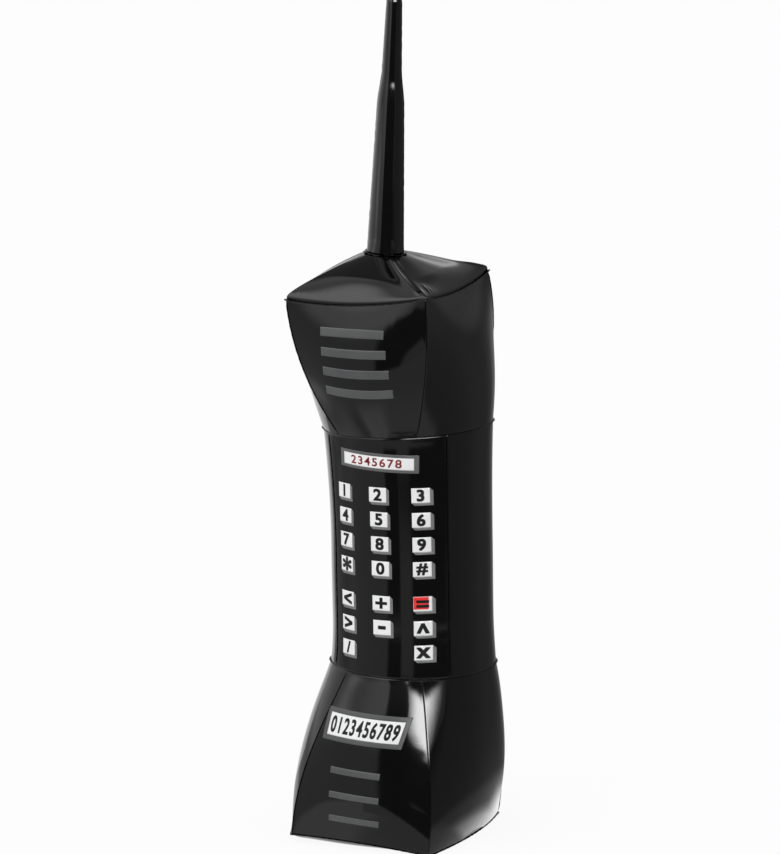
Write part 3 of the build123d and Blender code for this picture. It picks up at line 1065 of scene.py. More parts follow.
@dataclass
class Body:
    """The three tiers of film and their welds."""

    shop: Workshop
    upper: Block = Block(
        width=135.2 * MM,
        depth=138.1 * MM,
        side_rises=(EDGE_RISE, EDGE_RISE),
        radius=76.3 * MM,
        angle=29.6,
        corner_swell=9.6 * MM,
        side_swells=(0.8 * MM, -0.4 * MM),
    )
    lower: Block = Block(
        width=134.4 * MM,
        depth=157.5 * MM,
        side_rises=(10.2 * MM, 18 * MM),
        radius=74.8 * MM,
        angle=29.1,
        corner_swell=9.2 * MM,
        side_swells=(5.9 * MM, 4.2 * MM),
        bulge=1.3,
        pop=1.9 * MM,
    )
    neck_radius: float = 72.9 * MM
    keypad_angle: float = 47.6
    keypad_turn: float = 2.8
    flares: Pair = (0.5, 0.2)
    tuck: float = 1.2 * MM
    nod: Pair = (-0.01, 0.03)
    keypad_swell: float = 0.15 * MM
    foot_lift: float = 4 * MM
    foot_arch: float = 2 * MM
    top_dip: float = 5.0 * MM
    valve_hole: float = 5.3 * MM
    across: int = 110
    along: int = 120
    loop_count: int = 150
    fan_steps: int = 7
    blade_count: int = 220
    blade_gap: float = 0.004
    blade_ends: float = 6 * MM
    blade: Blade = Blade(0.6 * MM, least=0.1 * MM)
    welds: tuple[tuple[str, str, int, Margin], ...] = (
        ("top_seam", "upper", 0, Margin(ear=1.2 * MM, curl=1.2 * MM)),
        ("upper_waist_seam", "upper", 1, WAIST),
        ("lower_waist_seam", "lower", 1, replace(WAIST, seed=8)),
        ("foot_seam", "lower", 0, Margin(lip=1.1 * MM, ear=0.8 * MM, seed=9)),
    )

    def __post_init__(self) -> None:
        """Reads the weld heights from the frame and sets up the three skins."""
        self.foot = self.foot_lift
        self.lower_waist = seam_height("lower_waist_seam")
        self.upper_waist = seam_height("upper_waist_seam")
        self.top = seam_height("top_seam")
        self.spine = Spine(self.foot, self.top)
        head = self.upper.outline(), self.top, self.upper_waist
        foot = self.lower.outline(), self.foot, self.lower_waist
        self.skins = {
            "upper": Skin(self.spine, *head, seed=3, dip=self.top_dip, nod=self.nod),
            "keypad": self.keypad_skin(),
            "lower": Skin(self.spine, *foot, seed=57, dip=-self.foot_arch),
        }

    def keypad_skin(self) -> Skin:
        """The round tier: a neck that flares by a square towards each waist.

        Returns:
            Its skin, from the upper waist (0) to the lower (1).
        """
        flared = np.array([self.upper.radius, self.lower.radius]) - self.neck_radius

        def radius(share: Array) -> Array:
            """Radius of the tier.

            Args:
                share: Along the tier.

            Returns:
                Radius.
            """
            s = np.asarray(share, float)
            ways = zip((s, 1 - s), self.flares)
            high, low = (np.clip(1 - way / reach, 0, 1) ** 2 for way, reach in ways)
            return self.neck_radius + (flared[0] * high + flared[1] * low)

        outline = Outline(
            lambda s: ring_corners(radius(s), self.keypad_angle, self.keypad_turn, SETBACK),
            lambda s: ring_rises(radius(s), self.keypad_angle),
        )
        ends = self.upper_waist, self.lower_waist
        return Skin(self.spine, outline, *ends, seed=31, swell=self.keypad_swell, tuck=self.tuck)

    def panels(self) -> None:
        """Twelve panels of film, each a wall of film on its tier's surface."""
        u, share = np.meshgrid(np.linspace(0, 1, self.across), np.linspace(0, 1, self.along))
        chart = np.stack([u, share], -1)
        for tier, skin in self.skins.items():
            for side in Side:
                if (tier, side) == ("keypad", Side.BACK):
                    continue
                name = f"{tier}_{side.name.lower()}"
                outer = skin.surface(side.value, u, share)
                normal = skin.normal(side.value, u, share)
                wall = sheet_wall(name + "_film", outer, normal, FILM, uv=chart)
                self.shop.fit(wall, BLACK_FILM, name + "_panel")
        self.back_panel(u, share)

    def back_panel(self, u: Array, share: Array) -> None:
        """The keypad tier's back film, with a round hole where the valve passes.

        Points inside the hole move out to its edge, and cells that lay inside go.

        Args:
            u: Grid across the side.
            share: Grid along the tier.
        """
        skin = self.skins["keypad"]
        low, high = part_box("valve_stem")
        middle = np.array([(low.x + high.x) / 2, high.z - (high.x - low.x) / 2])
        outer = skin.surface(Side.BACK.value, u, share)
        off = outer[..., [0, 2]] - middle
        inside = np.linalg.norm(off, axis=-1) < self.valve_hole
        edge = middle + unit(off) * self.valve_hole
        outer[..., [0, 2]] = np.where(inside[..., None], edge, outer[..., [0, 2]])
        gone = inside[:-1, :-1] & inside[1:, :-1] & inside[:-1, 1:] & inside[1:, 1:]
        normal = skin.normal(Side.BACK.value, u, share)
        wall = sheet_wall("keypad_back_film", outer, normal, FILM, keep=~gone)
        self.shop.fit(wall, BLACK_FILM, "keypad_back_panel")

    def edge_loop(self, skin: Skin, share: float) -> tuple[Array, Array, Array]:
        """Closed path round one end of a tier.

        Up is square to the loop's own plane, by the sum of the cross products round it.
        Outward is square to the path, evened out by a running mean, so corners fan out.

        Args:
            skin: The tier's skin.
            share: 0 for its start, 1 for its end.

        Returns:
            Places, outward and upward unit vectors, each (points, 3).
        """
        u = np.linspace(0, 1, self.loop_count, endpoint=False)
        sides = [skin.smooth(side, u, np.full(len(u), share)) for side in range(SIDES)]
        places = np.concatenate(sides)
        after = np.roll(places, -1, 0)
        plane = np.cross(places, after).sum(0)
        up = unit(plane * np.sign(plane[2]))
        outward = unit(np.cross(unit(after - np.roll(places, 1, 0)), up))
        steps = range(-self.fan_steps, self.fan_steps + 1)
        fanned = sum(np.roll(outward, step, 0) for step in steps)
        return places, unit(fanned), np.broadcast_to(up, places.shape)

    def level_weld(self, seam: str, tier: str, share: int, margin: Margin) -> None:
        """Flat welded margin round a tier's end, in place of the seam's node."""
        ribbon = margin.mesh(seam + "_lip", *self.edge_loop(self.skins[tier], share))
        self.shop.fit(ribbon, BLACK_WELD, seam)

    def corner_welds(self) -> None:
        """Upright welds on the corners of each tier, thin blades along the fold."""
        share = np.linspace(self.blade_gap, 1 - self.blade_gap, self.blade_count)
        for tier, skin in self.skins.items():
            along = share * abs(skin.end - skin.start)
            ends = smoothstep(0, self.blade_ends, along)
            ends = ends * smoothstep(0, self.blade_ends, along.max() - along)
            blades = []
            for corner in range(SIDES):
                u = np.zeros_like(share)
                places = skin.smooth(corner, u, share)
                before = skin.normal((corner + 3) % SIDES, u + 1, share)
                outward = unit(before + skin.normal(corner, u, share))
                across = np.cross(unit(np.gradient(places, axis=0)), outward)
                seeds = skin.seed + corner, skin.seed + corner + 5
                blades.append(self.blade.mesh(places, outward, across, along, seeds, ends))
            welds = join(f"{tier}_corner_lips", blades)
            self.shop.fit(welds, BLACK_WELD, f"{tier}_corner_seams")

    def build(self) -> None:
        """Makes the panels and the welds."""
        self.panels()
        for weld in self.welds:
            self.level_weld(*weld)
        self.corner_welds()


# --- the antenna
@dataclass
class Antenna:
    """Stepped tube of two gores, welded up its sides, on a flange."""

    shop: Workshop
    foot_radius: float = 16.6 * MM
    shoulder_radius: float = 12.1 * MM
    neck_radius: float = 8.7 * MM
    tip_radius: float = 6.8 * MM
    fold: float = 9.0
    flatness: float = 1.72
    fold_start: float = 14 * MM
    shift: float = -2 * MM
    shoulder_start: float = 133 * MM
    shoulder_length: float = 30 * MM
    tip_length: float = 9 * MM
    slim_length: float = 59.3 * MM
    lean: float = 3.15
    flute: Pucker = Pucker(0.3 * MM, 9 * MM, 9 * MM)
    tuck: float = 0.3 * MM
    tuck_place: float = 0.72
    tuck_width: float = 5 * MM
    swell: float = 0.12 * MM
    swell_length: float = 70 * MM
    hold_foot: float = 2 * MM
    hold_tip: float = 12 * MM
    hold_weld: float = 0.06
    lip: float = 3.2 * MM
    lip_waves: tuple[tuple[float, ...], ...] = ((0.35 * MM, 7, 0), (0.2 * MM, 16, 1))
    rim_waves: tuple[tuple[float, ...], ...] = ((0.55 * MM, 5, 0.5), (0.3 * MM, 13, 0))
    blade: Blade = Blade(0.45 * MM, rag_length=12 * MM, wave=0.15 * MM, wave_length=9 * MM)
    around: int = 60
    rim_count: int = 240
    straight_rows: int = 230
    tip_rows: int = 18

    def __post_init__(self) -> None:
        """Works out the whole length, where the tip starts, and the leant directions."""
        self.shoulder_end = self.shoulder_start + self.shoulder_length
        self.tip_start = self.shoulder_end + self.slim_length
        self.length = self.tip_start + self.tip_length
        lean = math.radians(self.lean)
        self.up_way = np.array([math.sin(lean), 0, math.cos(lean)])
        self.side_way = np.array([math.cos(lean), 0, -math.sin(lean)])
        self.foot_place = np.array([self.shift, 0, seam_height("antenna_flange")])

    def radius(self, along: Array) -> Array:
        """Radius: a cone, a soft step down, a slimmer cone and an elliptical tip.

        Args:
            along: Distance along the antenna.

        Returns:
            Radius.
        """
        cone = lerp(self.foot_radius, self.shoulder_radius, along / self.shoulder_start)
        slim_share = (along - self.shoulder_end) / self.slim_length
        slim = lerp(self.neck_radius, self.tip_radius, slim_share)
        step = smoothstep(self.shoulder_start - 2 * MM, self.shoulder_end + 1 * MM, along)
        share = np.clip((along - self.tip_start) / self.tip_length, 0, 1)
        return lerp(cone, slim, step) * np.sqrt(np.maximum(1 - share**2, 0))

    def section(self, bearing: Array, along: Array) -> Array:
        """Radius round the antenna: a four-folded section, round at the foot and the tip.

        The fold is a superellipse, 1 over the root of cos to a power plus sin to it,
        turned so that its corners stand at the fold's angle and at right angles to it.

        Args:
            bearing: Bearing round the antenna, in radians.
            along: Distance along the antenna.

        Returns:
            Radius.
        """
        turn = bearing - math.radians(self.fold)
        tip = self.length - 2 * self.tip_length, self.length
        power = lerp(2.0, self.flatness, window(along, (0, self.fold_start), tip))
        girth = sum((np.abs(part(turn)) + 1e-4) ** power for part in (np.cos, np.sin))
        return self.radius(along) / girth ** (1 / power)

    def rows(self) -> Array:
        """Places of the rings, even at first and close together on the tip.

        Returns:
            Distances along the antenna.
        """
        straight = np.linspace(0.3 * MM, self.tip_start, self.straight_rows)
        turn = np.linspace(0, math.pi / 2, self.tip_rows)[1:]
        return np.concatenate([straight, self.tip_start + self.tip_length * np.sin(turn)])

    def relief(self, bearing: Array, along: Array) -> Array:
        """Wrinkles: flutes over the flange, a tuck on the shoulder and a faint swell.

        Args:
            bearing: Bearing round the antenna, in radians.
            along: Distance along the antenna.

        Returns:
            Height over the smooth film.
        """
        flute = self.flute.lift(bearing * self.foot_radius, along, 140)
        middle = self.shoulder_start + self.tuck_place * self.shoulder_length
        uneven = 0.6 + 0.4 * np.cos(bearing * 2 + 0.6)
        tuck = -self.tuck * bell(along, middle, self.tuck_width) * uneven
        slow = self.swell * waves(bearing * 12 * MM, along, self.swell_length, 143)
        hold = smoothstep(0, self.hold_foot, along)
        hold = hold * smoothstep(0, self.hold_tip, self.length - along)
        weld = np.abs(np.sin(bearing - math.radians(self.fold)))
        return hold * (flute + tuck + slow) * smoothstep(0, self.hold_weld, weld)

    def place(self, bearing: Array, along: Array, radius: Array) -> Array:
        """Place from the bearing round the antenna, counted from its right.

        Args:
            bearing: Bearing round the antenna, in radians.
            along: Distance along the antenna.
            radius: Distance from its middle line.

        Returns:
            Places, (..., 3).
        """
        across = self.side_way * (np.cos(bearing) * radius)[..., None]
        back = np.array([0, 1, 0]) * (np.sin(bearing) * radius)[..., None]
        return self.foot_place + self.up_way * np.asarray(along)[..., None] + across + back

    def over_tip(self, outward: Array, along: Array) -> Array:
        """Outward unit vectors, turned to the antenna's own direction over its tip."""
        tip = smoothstep(self.tip_start, self.length, along)[..., None]
        return unit(lerp(outward, self.up_way, tip))

    def gore(self, side: str, start: float) -> None:
        """One gore: half of the tube, from weld to weld.

        Args:
            side: Side that the gore is on.
            start: Bearing at which it starts, in radians.
        """
        start += math.radians(self.fold)
        turn = np.linspace(start, start + math.pi, self.around)
        bearing, along = np.meshgrid(turn, self.rows())
        radius = self.section(bearing, along)
        relief = self.relief(bearing, along) * (radius > 0.01 * MM)
        outer = self.place(bearing, along, radius + relief)
        round_way = np.gradient(outer, axis=1) / np.maximum(radius, 1e-6)[..., None]
        facing = unit(np.cross(round_way, self.up_way))
        facing *= np.sign(np.sum(facing * (outer - self.place(bearing, along, 0 * radius))))
        wall = sheet_wall(f"antenna_{side}_film", outer, self.over_tip(facing, along), FILM)
        self.shop.fit(wall, BLACK_FILM, f"antenna_{side}_panel")

    def side_welds(self) -> None:
        """Thin blades up both sides of the antenna, meeting over the tip."""
        blades = []
        along = self.rows()
        for bearing, seed in ((0.0, 150), (math.pi, 151)):
            turn = np.full_like(along, bearing + math.radians(self.fold))
            path = self.place(turn, along, self.section(turn, along))
            radius = self.radius(along)
            away = self.place(turn, along, radius + 1.0) - self.place(turn, along, radius)
            outward = self.over_tip(unit(away), along)
            across = np.broadcast_to(unit(np.cross(outward[0], self.up_way)), path.shape)
            blades.append(self.blade.mesh(path, outward, across, along, (seed, seed + 2)))
        self.shop.fit(join("antenna_side_lips", blades), BLACK_WELD, "antenna_side_seams")

    def flange(self) -> None:
        """Wavy welded ring round the antenna's foot: each wave is a sine round the ring."""
        bearing = np.linspace(0, 2 * math.pi, self.rim_count, endpoint=False)
        path = self.place(bearing, 0 * bearing, np.full_like(bearing, self.foot_radius))
        outward = unit(path - self.foot_place)
        lip, wave = (
            sum(height * np.sin(bearing * count + phase) for height, count, phase in sines)
            for sines in (self.lip_waves, self.rim_waves)
        )
        up = np.broadcast_to(self.up_way, path.shape)
        name = "antenna_flange_lip"
        ring = ribbon_mesh(name, path, outward, up, self.lip + lip, wave, BLADE_HALF, closed=True)
        self.shop.fit(ring, BLACK_WELD, "antenna_flange")

    def build(self) -> None:
        """Makes both gores, the side welds and the flange."""
        self.gore("back", 0.0)
        self.gore("front", math.pi)
        self.side_welds()
        self.flange()


# --- top and foot
@dataclass(frozen=True)
class Crease:
    """A sharp ridge of the dome, along a line that climbs from the weld.

    The line is counted round from a hip, in sides: the hip's number, and where beside
    it the line starts on the weld and would reach the flange. The ridge runs from one
    share of the climb to another, and has a height and a width.
    """

    hip: int
    low: float
    high: float
    start: float
    end: float
    height: float
    width: float
    fades: tuple[float, float, float, float] = (-0.02, 0.12, -0.15, 0.02)

    def lift(self, turn: Array, share: Array, length: Array) -> Array:
        """Height times e to the minus distance from the line over the width.

        Args:
            turn: Place round the dome, in sides.
            share: Share of the climb.
            length: Length of a side there.

        Returns:
            Height over the smooth film, fading out at both ends of the ridge.
        """
        off = np.abs(turn - self.hip - lerp(self.low, self.high, share))
        off = np.minimum(off, SIDES - off) * length
        rise = self.start + self.fades[0], self.start + self.fades[1]
        fall = self.end + self.fades[2], self.end + self.fades[3]
        return self.height * np.exp(-off / self.width) * window(share, rise, fall)


@dataclass
class Cap:
    """The domed top and the foot: films that close the two square ends."""

    shop: Workshop
    body: Body
    antenna: Antenna
    around: int = 120
    rings: int = 100
    foot_rings: tuple[int, int] = (24, 20)
    dome_swells: tuple[float, ...] = (5 * MM, 5 * MM, 16 * MM, 1 * MM)
    dome_steep: float = 0.92
    dip_fade: float = 0.45
    hip_lift: tuple[float, ...] = (5 * MM, 3 * MM, 6 * MM, 11 * MM)
    lift_place: float = 0.33
    reach: float = 68 * MM
    side_lengths: Pair = (136 * MM, 22 * MM)
    rim: Pucker = Pucker(0.05 * MM, 9 * MM, 6 * MM)
    fan: float = 6.0
    collar: Pucker = Pucker(0.12 * MM, 13 * MM, 8 * MM)
    collar_length: float = 60 * MM
    swell: float = 0.2 * MM
    swell_length: float = 70 * MM
    hold: float = 0.05
    creases: tuple[Crease, ...] = (
        Crease(0, 0.965, 0.87, 0.03, 1.0, 2.2 * MM, 2.6 * MM),
        Crease(0, 0.04, 0.05, 0.0, 0.12, 0.4 * MM, 1.2 * MM),
        Crease(0, 0.08, 0.09, 0.0, 0.10, 0.3 * MM, 1.1 * MM),
        Crease(1, 0.09, 0.04, 0.0, 0.30, 0.9 * MM, 1.6 * MM),
        Crease(1, 0.13, 0.07, 0.0, 0.26, 0.7 * MM, 1.4 * MM),
        Crease(1, 0.17, 0.12, 0.0, 0.20, 0.5 * MM, 1.3 * MM),
        Crease(2, 0.0, 0.0, 0.1, 0.9, 0.6 * MM, 4.0 * MM),
        Crease(3, 0.0, 0.0, 0.1, 0.9, 0.4 * MM, 4.0 * MM),
    )
    foot_flat: float = 0.72
    foot_round: float = 9 * MM

    def __post_init__(self) -> None:
        """Sets up the dome's outline, from the square weld (0) to the flange's ring (1)."""
        body, ring = self.body, self.antenna.foot_radius
        self.outline = Outline.blend(
            (rectangle(body.upper.width, body.upper.depth), ring_corners(ring, 45)),
            (np.full(SIDES, EDGE_RISE), ring_rises(ring, 45)),
            (0.0, np.array(self.dome_swells)),
        )

    def dome_point(self, side: int, u: Array, share: Array) -> Array:
        """Place on the dome: four arcs that shrink from the weld to a ring, and climb.

        The hips are lifted by their own amounts times 4 t (1 - t), blended across a side,
        t being the share to a power. The weld dips and nods as the head's film does.

        Args:
            side: Number of the side.
            u: Across the side.
            share: 0 on the weld, 1 on the antenna's flange.

        Returns:
            Places, (..., 3).
        """
        body, antenna = self.body, self.antenna
        x, y = self.outline.point(side, u, share)
        climb = share * (self.dome_steep - (self.dome_steep - 1) * share)
        low_way = unit(np.array([1, 0, -body.spine.slope(body.top)]))
        way = unit(lerp(low_way, antenna.side_way, climb[..., None]))
        middle = lerp(np.array([0, 0, body.top]), antenna.foot_place, climb[..., None])
        place = middle + way * x[..., None]
        place[..., 1] += y
        lift = lerp(self.hip_lift[side], self.hip_lift[(side + 1) % SIDES], u)
        place[..., 2] += lift * arch(np.clip(share, 1e-9, 1) ** self.lift_place)
        place[..., 2] += (body.nod[0] * x + body.nod[1] * y) * (1 - climb)
        place[..., 2] -= body.top_dip * arch(u) * (1 - smoothstep(0, self.dip_fade, share))
        return place

    def dome_relief(self, side: int, u: Array, share: Array) -> Array:
        """Wrinkles of the dome: its creases, puckers at both welds and a slow swell.

        Args:
            side: Number of the side.
            u: Across the side.
            share: 0 on the weld, 1 on the antenna's flange.

        Returns:
            Height over the smooth film.
        """
        near, far = share * self.reach, (1 - share) * self.reach
        length = lerp(*self.side_lengths, share)
        across = (u - 0.5) * length
        sharp = sum(crease.lift(side + u, share, length) for crease in self.creases)
        soft = self.rim.lift(across * (1 + self.fan * near), near, 70 + side)
        soft = soft + self.collar.lift(u * self.collar_length, far, 80 + side)
        soft = soft + self.swell * waves(across, near, self.swell_length, 90 + side)
        hold = smoothstep(0, self.hold, share) * smoothstep(1, 1 - self.hold, share)
        return hold * (sharp + soft * smoothstep(0, self.hold, np.minimum(u, 1 - u)))

    def foot_point(self, side: int, u: Array, share: Array) -> Array:
        """Place on the foot: from the weld (0) to the flat patch (1), then to its middle (2).

        The rectangle shrinks to the patch and then to a point, and the film curls down
        to the floor by 1 - (1 - share)^2.

        Args:
            side: Number of the side.
            u: Across the side.
            share: 0 to 2, as above.

        Returns:
            Places, (..., 3).
        """
        body = self.body
        curl = np.clip(share, 0, 1)
        shrink = np.clip(2 - share, 1e-6, 1)
        size = lerp(1.0, self.foot_flat, curl) * shrink
        block = body.lower
        edge = np.array([EDGE_RISE, block.side_rises[0], EDGE_RISE, block.side_rises[1]])
        patch = np.full(SIDES, self.foot_round)
        outline = Outline(
            lambda _: rectangle(block.width, block.depth) * size[..., None, None],
            lambda _: lerp(edge, patch, curl[..., None]) * shrink[..., None],
        )
        x, y = outline.point(side, u, share)
        place = body.spine.place(x, y, np.full(np.shape(x), body.foot))
        sink = curl * (2 - curl)
        place[..., 2] = (place[..., 2] + body.foot_arch * arch(u)) * (1 - sink)
        return place

    def closed_wall(
        self, name: str, point: Callable, relief: Callable | None, shares: Array, up: float
    ) -> Object:
        """Wall of film whose four sides run round a cap.

        Args:
            name: Its name.
            point: Place from side, u and share.
            relief: Height of the wrinkles from the same, or None.
            shares: Values of share, one for each ring.
            up: 1 where the film faces up, -1 where it faces down.

        Returns:
            The linked object.
        """
        u, share = np.meshgrid(np.linspace(0, 1, self.around, endpoint=False), shares)
        places = np.concatenate([point(side, u, share) for side in range(SIDES)], 1)
        round_way = np.roll(places, -1, 1) - np.roll(places, 1, 1)
        normal = np.cross(round_way, np.gradient(places, axis=0))
        lost = np.linalg.norm(normal, axis=-1, keepdims=True) < NO_LENGTH
        normal = unit(np.where(lost, (0, 0, up), normal))
        normal = normal * np.sign(np.sum(normal[..., 2]) * up)
        if relief:
            heights = np.concatenate([relief(side, u, share) for side in range(SIDES)], 1)
            places = places + normal * heights[..., None]
        return sheet_wall(name, places, normal, FILM, wrap=True)

    def build(self) -> None:
        """Makes the dome and the foot."""
        climb = np.linspace(0, 1, self.rings)
        dome = self.closed_wall("top_film", self.dome_point, self.dome_relief, climb, 1)
        self.shop.fit(dome, BLACK_FILM, "top_panel")
        curl, flat = self.foot_rings
        shares = np.concatenate([np.linspace(0, 1, curl), np.linspace(1.05, 2, flat)])
        foot = self.closed_wall("bottom_film", self.foot_point, None, shares, -1)
        self.shop.fit(foot, BLACK_FILM, "bottom_panel")


# --- printed layers
@dataclass(frozen=True)
class Box2D:
    """A tilted rectangle in the front view: middle, size and tilt in degrees.

    Its upright edges lean by the shear and open upwards by the taper, and its level
    ones sag in the middle.
    """

    x: float
    z: float
    width: float
    height: float
    tilt: float = 0.0
    shear: float = 0.0
    taper: float = 0.0
    sag: float = 0.0

    def place(self, a: Array, b: Array) -> tuple[Array, Array]:
        """Front-view place of a point given from the middle, a across and b up.

        Args:
            a: Across.
            b: Up.

        Returns:
            x and z in the front view.
        """
        turn = math.radians(self.tilt)
        b = b - self.sag * (1 - (2 * a / self.width) ** 2)
        a = a * (1 + self.taper * b) + self.shear * b
        x = self.x + a * math.cos(turn) - b * math.sin(turn)
        return x, self.z + a * math.sin(turn) + b * math.cos(turn)

    def shrunk(self, side: float, end: float) -> "Box2D":
        """The box with a border taken off: side above and below, end left and right."""
        return replace(self, width=self.width - 2 * end, height=self.height - 2 * side)


@dataclass(frozen=True)
class Lettering:
    """How characters are set: their height, width over natural width, spacing and weight.

    The weight is how far four copies stand off to thicken the strokes, over the height.
    """

    height: float
    squeeze: float
    spacing: float = 1.0
    bold: float = 0.035


FULL_HEIGHT_MARKS = tuple("0123456789#/")
CAPITAL_SHARE = 0.729
STROKE_OFFSET = 0.012
CURVE_STEPS = 6


@dataclass
class Print:
    """Ink laid on the front film of one tier."""

    skin: Skin
    cell: float = 1.2 * MM
    lift: float = 0.22 * MM
    ink: float = 0.12 * MM
    letter_top: float = 0.07 * MM
    letter_root: float = 0.05 * MM

    def wall(self, name: str, x: Array, z: Array, lift: float = 0.0, wrap: bool = False) -> Object:
        """Thin closed layer over a grid of front-view places, lifted over the usual one."""
        outer, normal = self.skin.front_layer(x, z, self.lift + lift)
        return sheet_wall(name, outer, normal, self.ink, wrap=wrap)

    def patch(self, name: str, box: Box2D, lift: float = 0.0) -> Object:
        """Layer over a whole box, with cells of about the named size.

        Args:
            name: Its name.
            box: The box.
            lift: How far it stands over the usual layer.

        Returns:
            The linked object.
        """
        sizes = (box.width, box.height)
        a, b = (np.linspace(-0.5, 0.5, max(3, round(size / self.cell))) * size for size in sizes)
        return self.wall(name, *box.place(*np.meshgrid(a, b)), lift)

    def border(self, name: str, outer: Box2D, inner: Box2D) -> Object:
        """Layer between two boxes: straight blends from the inner rim to the outer one.

        Args:
            name: Its name.
            outer: Outer box.
            inner: Inner box, of the same middle and tilt.

        Returns:
            The linked object.
        """
        rim = rectangle(1.0, 1.0)
        share = np.arange(0, SIDES, 1 / 40)
        side = share.astype(int)
        loop = lerp(rim[side], rim[(side + 1) % SIDES], (share % 1)[:, None])
        blend = np.linspace(0, 1, 5)[:, None]
        a = lerp(loop[:, 0] * inner.width, loop[:, 0] * outer.width, blend)
        b = lerp(loop[:, 1] * inner.height, loop[:, 1] * outer.height, blend)
        return self.wall(name, *outer.place(a, b), wrap=True)

    def band(self, name: str, inner: Array, outer: Array) -> Object:
        """Layer between two lines of as many points, each run cut into short steps.

        Args:
            name: Its name.
            inner: Points of one line in the front view, (n, 2).
            outer: Points of the other, (n, 2).

        Returns:
            The linked object.
        """
        knots = np.arange(len(inner))
        steps = np.linspace(0, len(inner) - 1, 14 * (len(inner) - 1) + 1)
        near, far = (
            np.stack([np.interp(steps, knots, line[:, i]) for i in (0, 1)], -1)
            for line in (inner, outer)
        )
        grid = lerp(near, far, np.linspace(0, 1, 4)[:, None, None])
        return self.wall(name, grid[..., 0], grid[..., 1])

    def text(self, name: str, words: str, box: Box2D, style: Lettering) -> Object:
        """Characters laid over the print, in the middle of a box.

        The flat characters are cut by a fine grid of lines, so that they bend with
        the film, and each point is then lifted over its front-view place.

        Args:
            name: Its name.
            words: Characters to set.
            box: Box that they stand in.
            style: How they are set.

        Returns:
            The linked object.
        """
        mesh = self.flat_text(name, words, style.spacing)
        flat = np.empty(len(mesh.vertices) * 3)
        mesh.vertices.foreach_get("co", flat)
        flat = flat.reshape(-1, 3)
        low, high = flat.min(0), flat.max(0)
        capitals = high[1] - low[1] if words in FULL_HEIGHT_MARKS else CAPITAL_SHARE
        scale = style.height / capitals
        a = (flat[:, 0] - (low[0] + high[0]) / 2) * scale * style.squeeze
        b = (flat[:, 1] - (low[1] + high[1]) / 2) * scale
        rise = np.where(flat[:, 2] > 0, self.letter_top, -self.letter_root)[:, None]
        copies = []
        for right, up in rectangle(2.0, 2.0) * style.bold * style.height:
            outer, normal = self.skin.front_layer(*box.place(a + right, b + up), self.lift)
            layer = mesh.copy()
            layer.vertices.foreach_set("co", (outer + normal * rise).ravel())
            copies.append(bpy.data.objects.new(name, layer))
        item = join(name, copies)
        rework(item.data, turn_out)
        return item

    @staticmethod
    def flat_text(name: str, words: str, spacing: float) -> bpy.types.Mesh:
        """Flat thick characters, cut by a fine grid of lines.

        Args:
            name: Name of the mesh.
            words: Characters to set.
            spacing: Room between characters over the natural room.

        Returns:
            The mesh, in units of the characters' own size.
        """
        curve = bpy.data.curves.new(name, "FONT")
        curve.body = words
        curve.space_character = spacing
        curve.offset = STROKE_OFFSET
        curve.extrude = 0.5
        curve.resolution_u = CURVE_STEPS
        draft = add_object(name, curve)
        depsgraph = bpy.context.evaluated_depsgraph_get()
        mesh = bpy.data.meshes.new_from_object(draft.evaluated_get(depsgraph))
        bpy.data.objects.remove(draft)
        rework(mesh, Print.cut)
        return mesh

    @staticmethod
    def cut(shell: Shell) -> None:
        """Merges a text mesh's doubles and cuts it along level and upright lines.

        Args:
            shell: The flat characters, in units of their own size.
        """
        bmesh.ops.remove_doubles(shell, verts=shell.verts, dist=1e-5)
        widest = max(v.co.x for v in shell.verts)
        planes = [((0, place, 0), (0, 1, 0)) for place in np.arange(-0.2, 1.2, 0.1)]
        planes += [((place, 0, 0), (1, 0, 0)) for place in np.arange(0.05, widest, 0.12)]
        for place, way in planes:
            geometry = shell.verts[:] + shell.edges[:] + shell.faces[:]
            bmesh.ops.bisect_plane(shell, geom=geometry, plane_co=place, plane_no=way)


class Keys(Enum):
    """What stands on the keys, row by row; a space leaves its key out."""

    DIAL = ("123", "456", "789", "*0#")
    SIGNS = ("<+=", ">-^", "/ x")


MARK_SIZES = {"*": 1.8, "<": 1.35, ">": 1.35, "+": 1.35, "=": 1.35, "-": 1.6, "^": 1.5, "x": 1.4}
RED_MARK = "="


@dataclass(frozen=True)
class Bars:
    """A stack of printed bars, the first a way over its seam, the next a pitch further up.

    Each next bar may be longer, further right and more sagged than the one before.
    """

    count: int
    start: float
    pitch: float
    width: float
    height: float
    shift: float
    tilt: float = 0.0
    growth: float = 0.0
    step: float = 0.0
    sag: float = 0.0

    def box(self, row: int, seam: float) -> Box2D:
        """Box of one bar.

        Args:
            row: 0 by the seam.
            seam: Height of the seam.

        Returns:
            The box.
        """
        x, z = self.shift + row * self.step, seam + self.start + row * self.pitch
        width = self.width + row * self.growth
        return Box2D(x, z, width, self.height, self.tilt, sag=row * self.sag)


@dataclass(frozen=True)
class Framed:
    """A white field in a grey frame, with plain numbers on it.

    The frame is as wide as the border's two sizes: above and below, and at the ends.
    The form is its tilt, shear and taper, and the room is how far the numbers stand
    from its middle.
    """

    name: str
    field: str
    tier: str
    drop: float
    shift: float
    size: Pair
    border: Pair
    form: tuple[float, ...]
    frame_ink: Finish
    ink: Finish
    words: str
    letters: Lettering
    room: float = 0.0


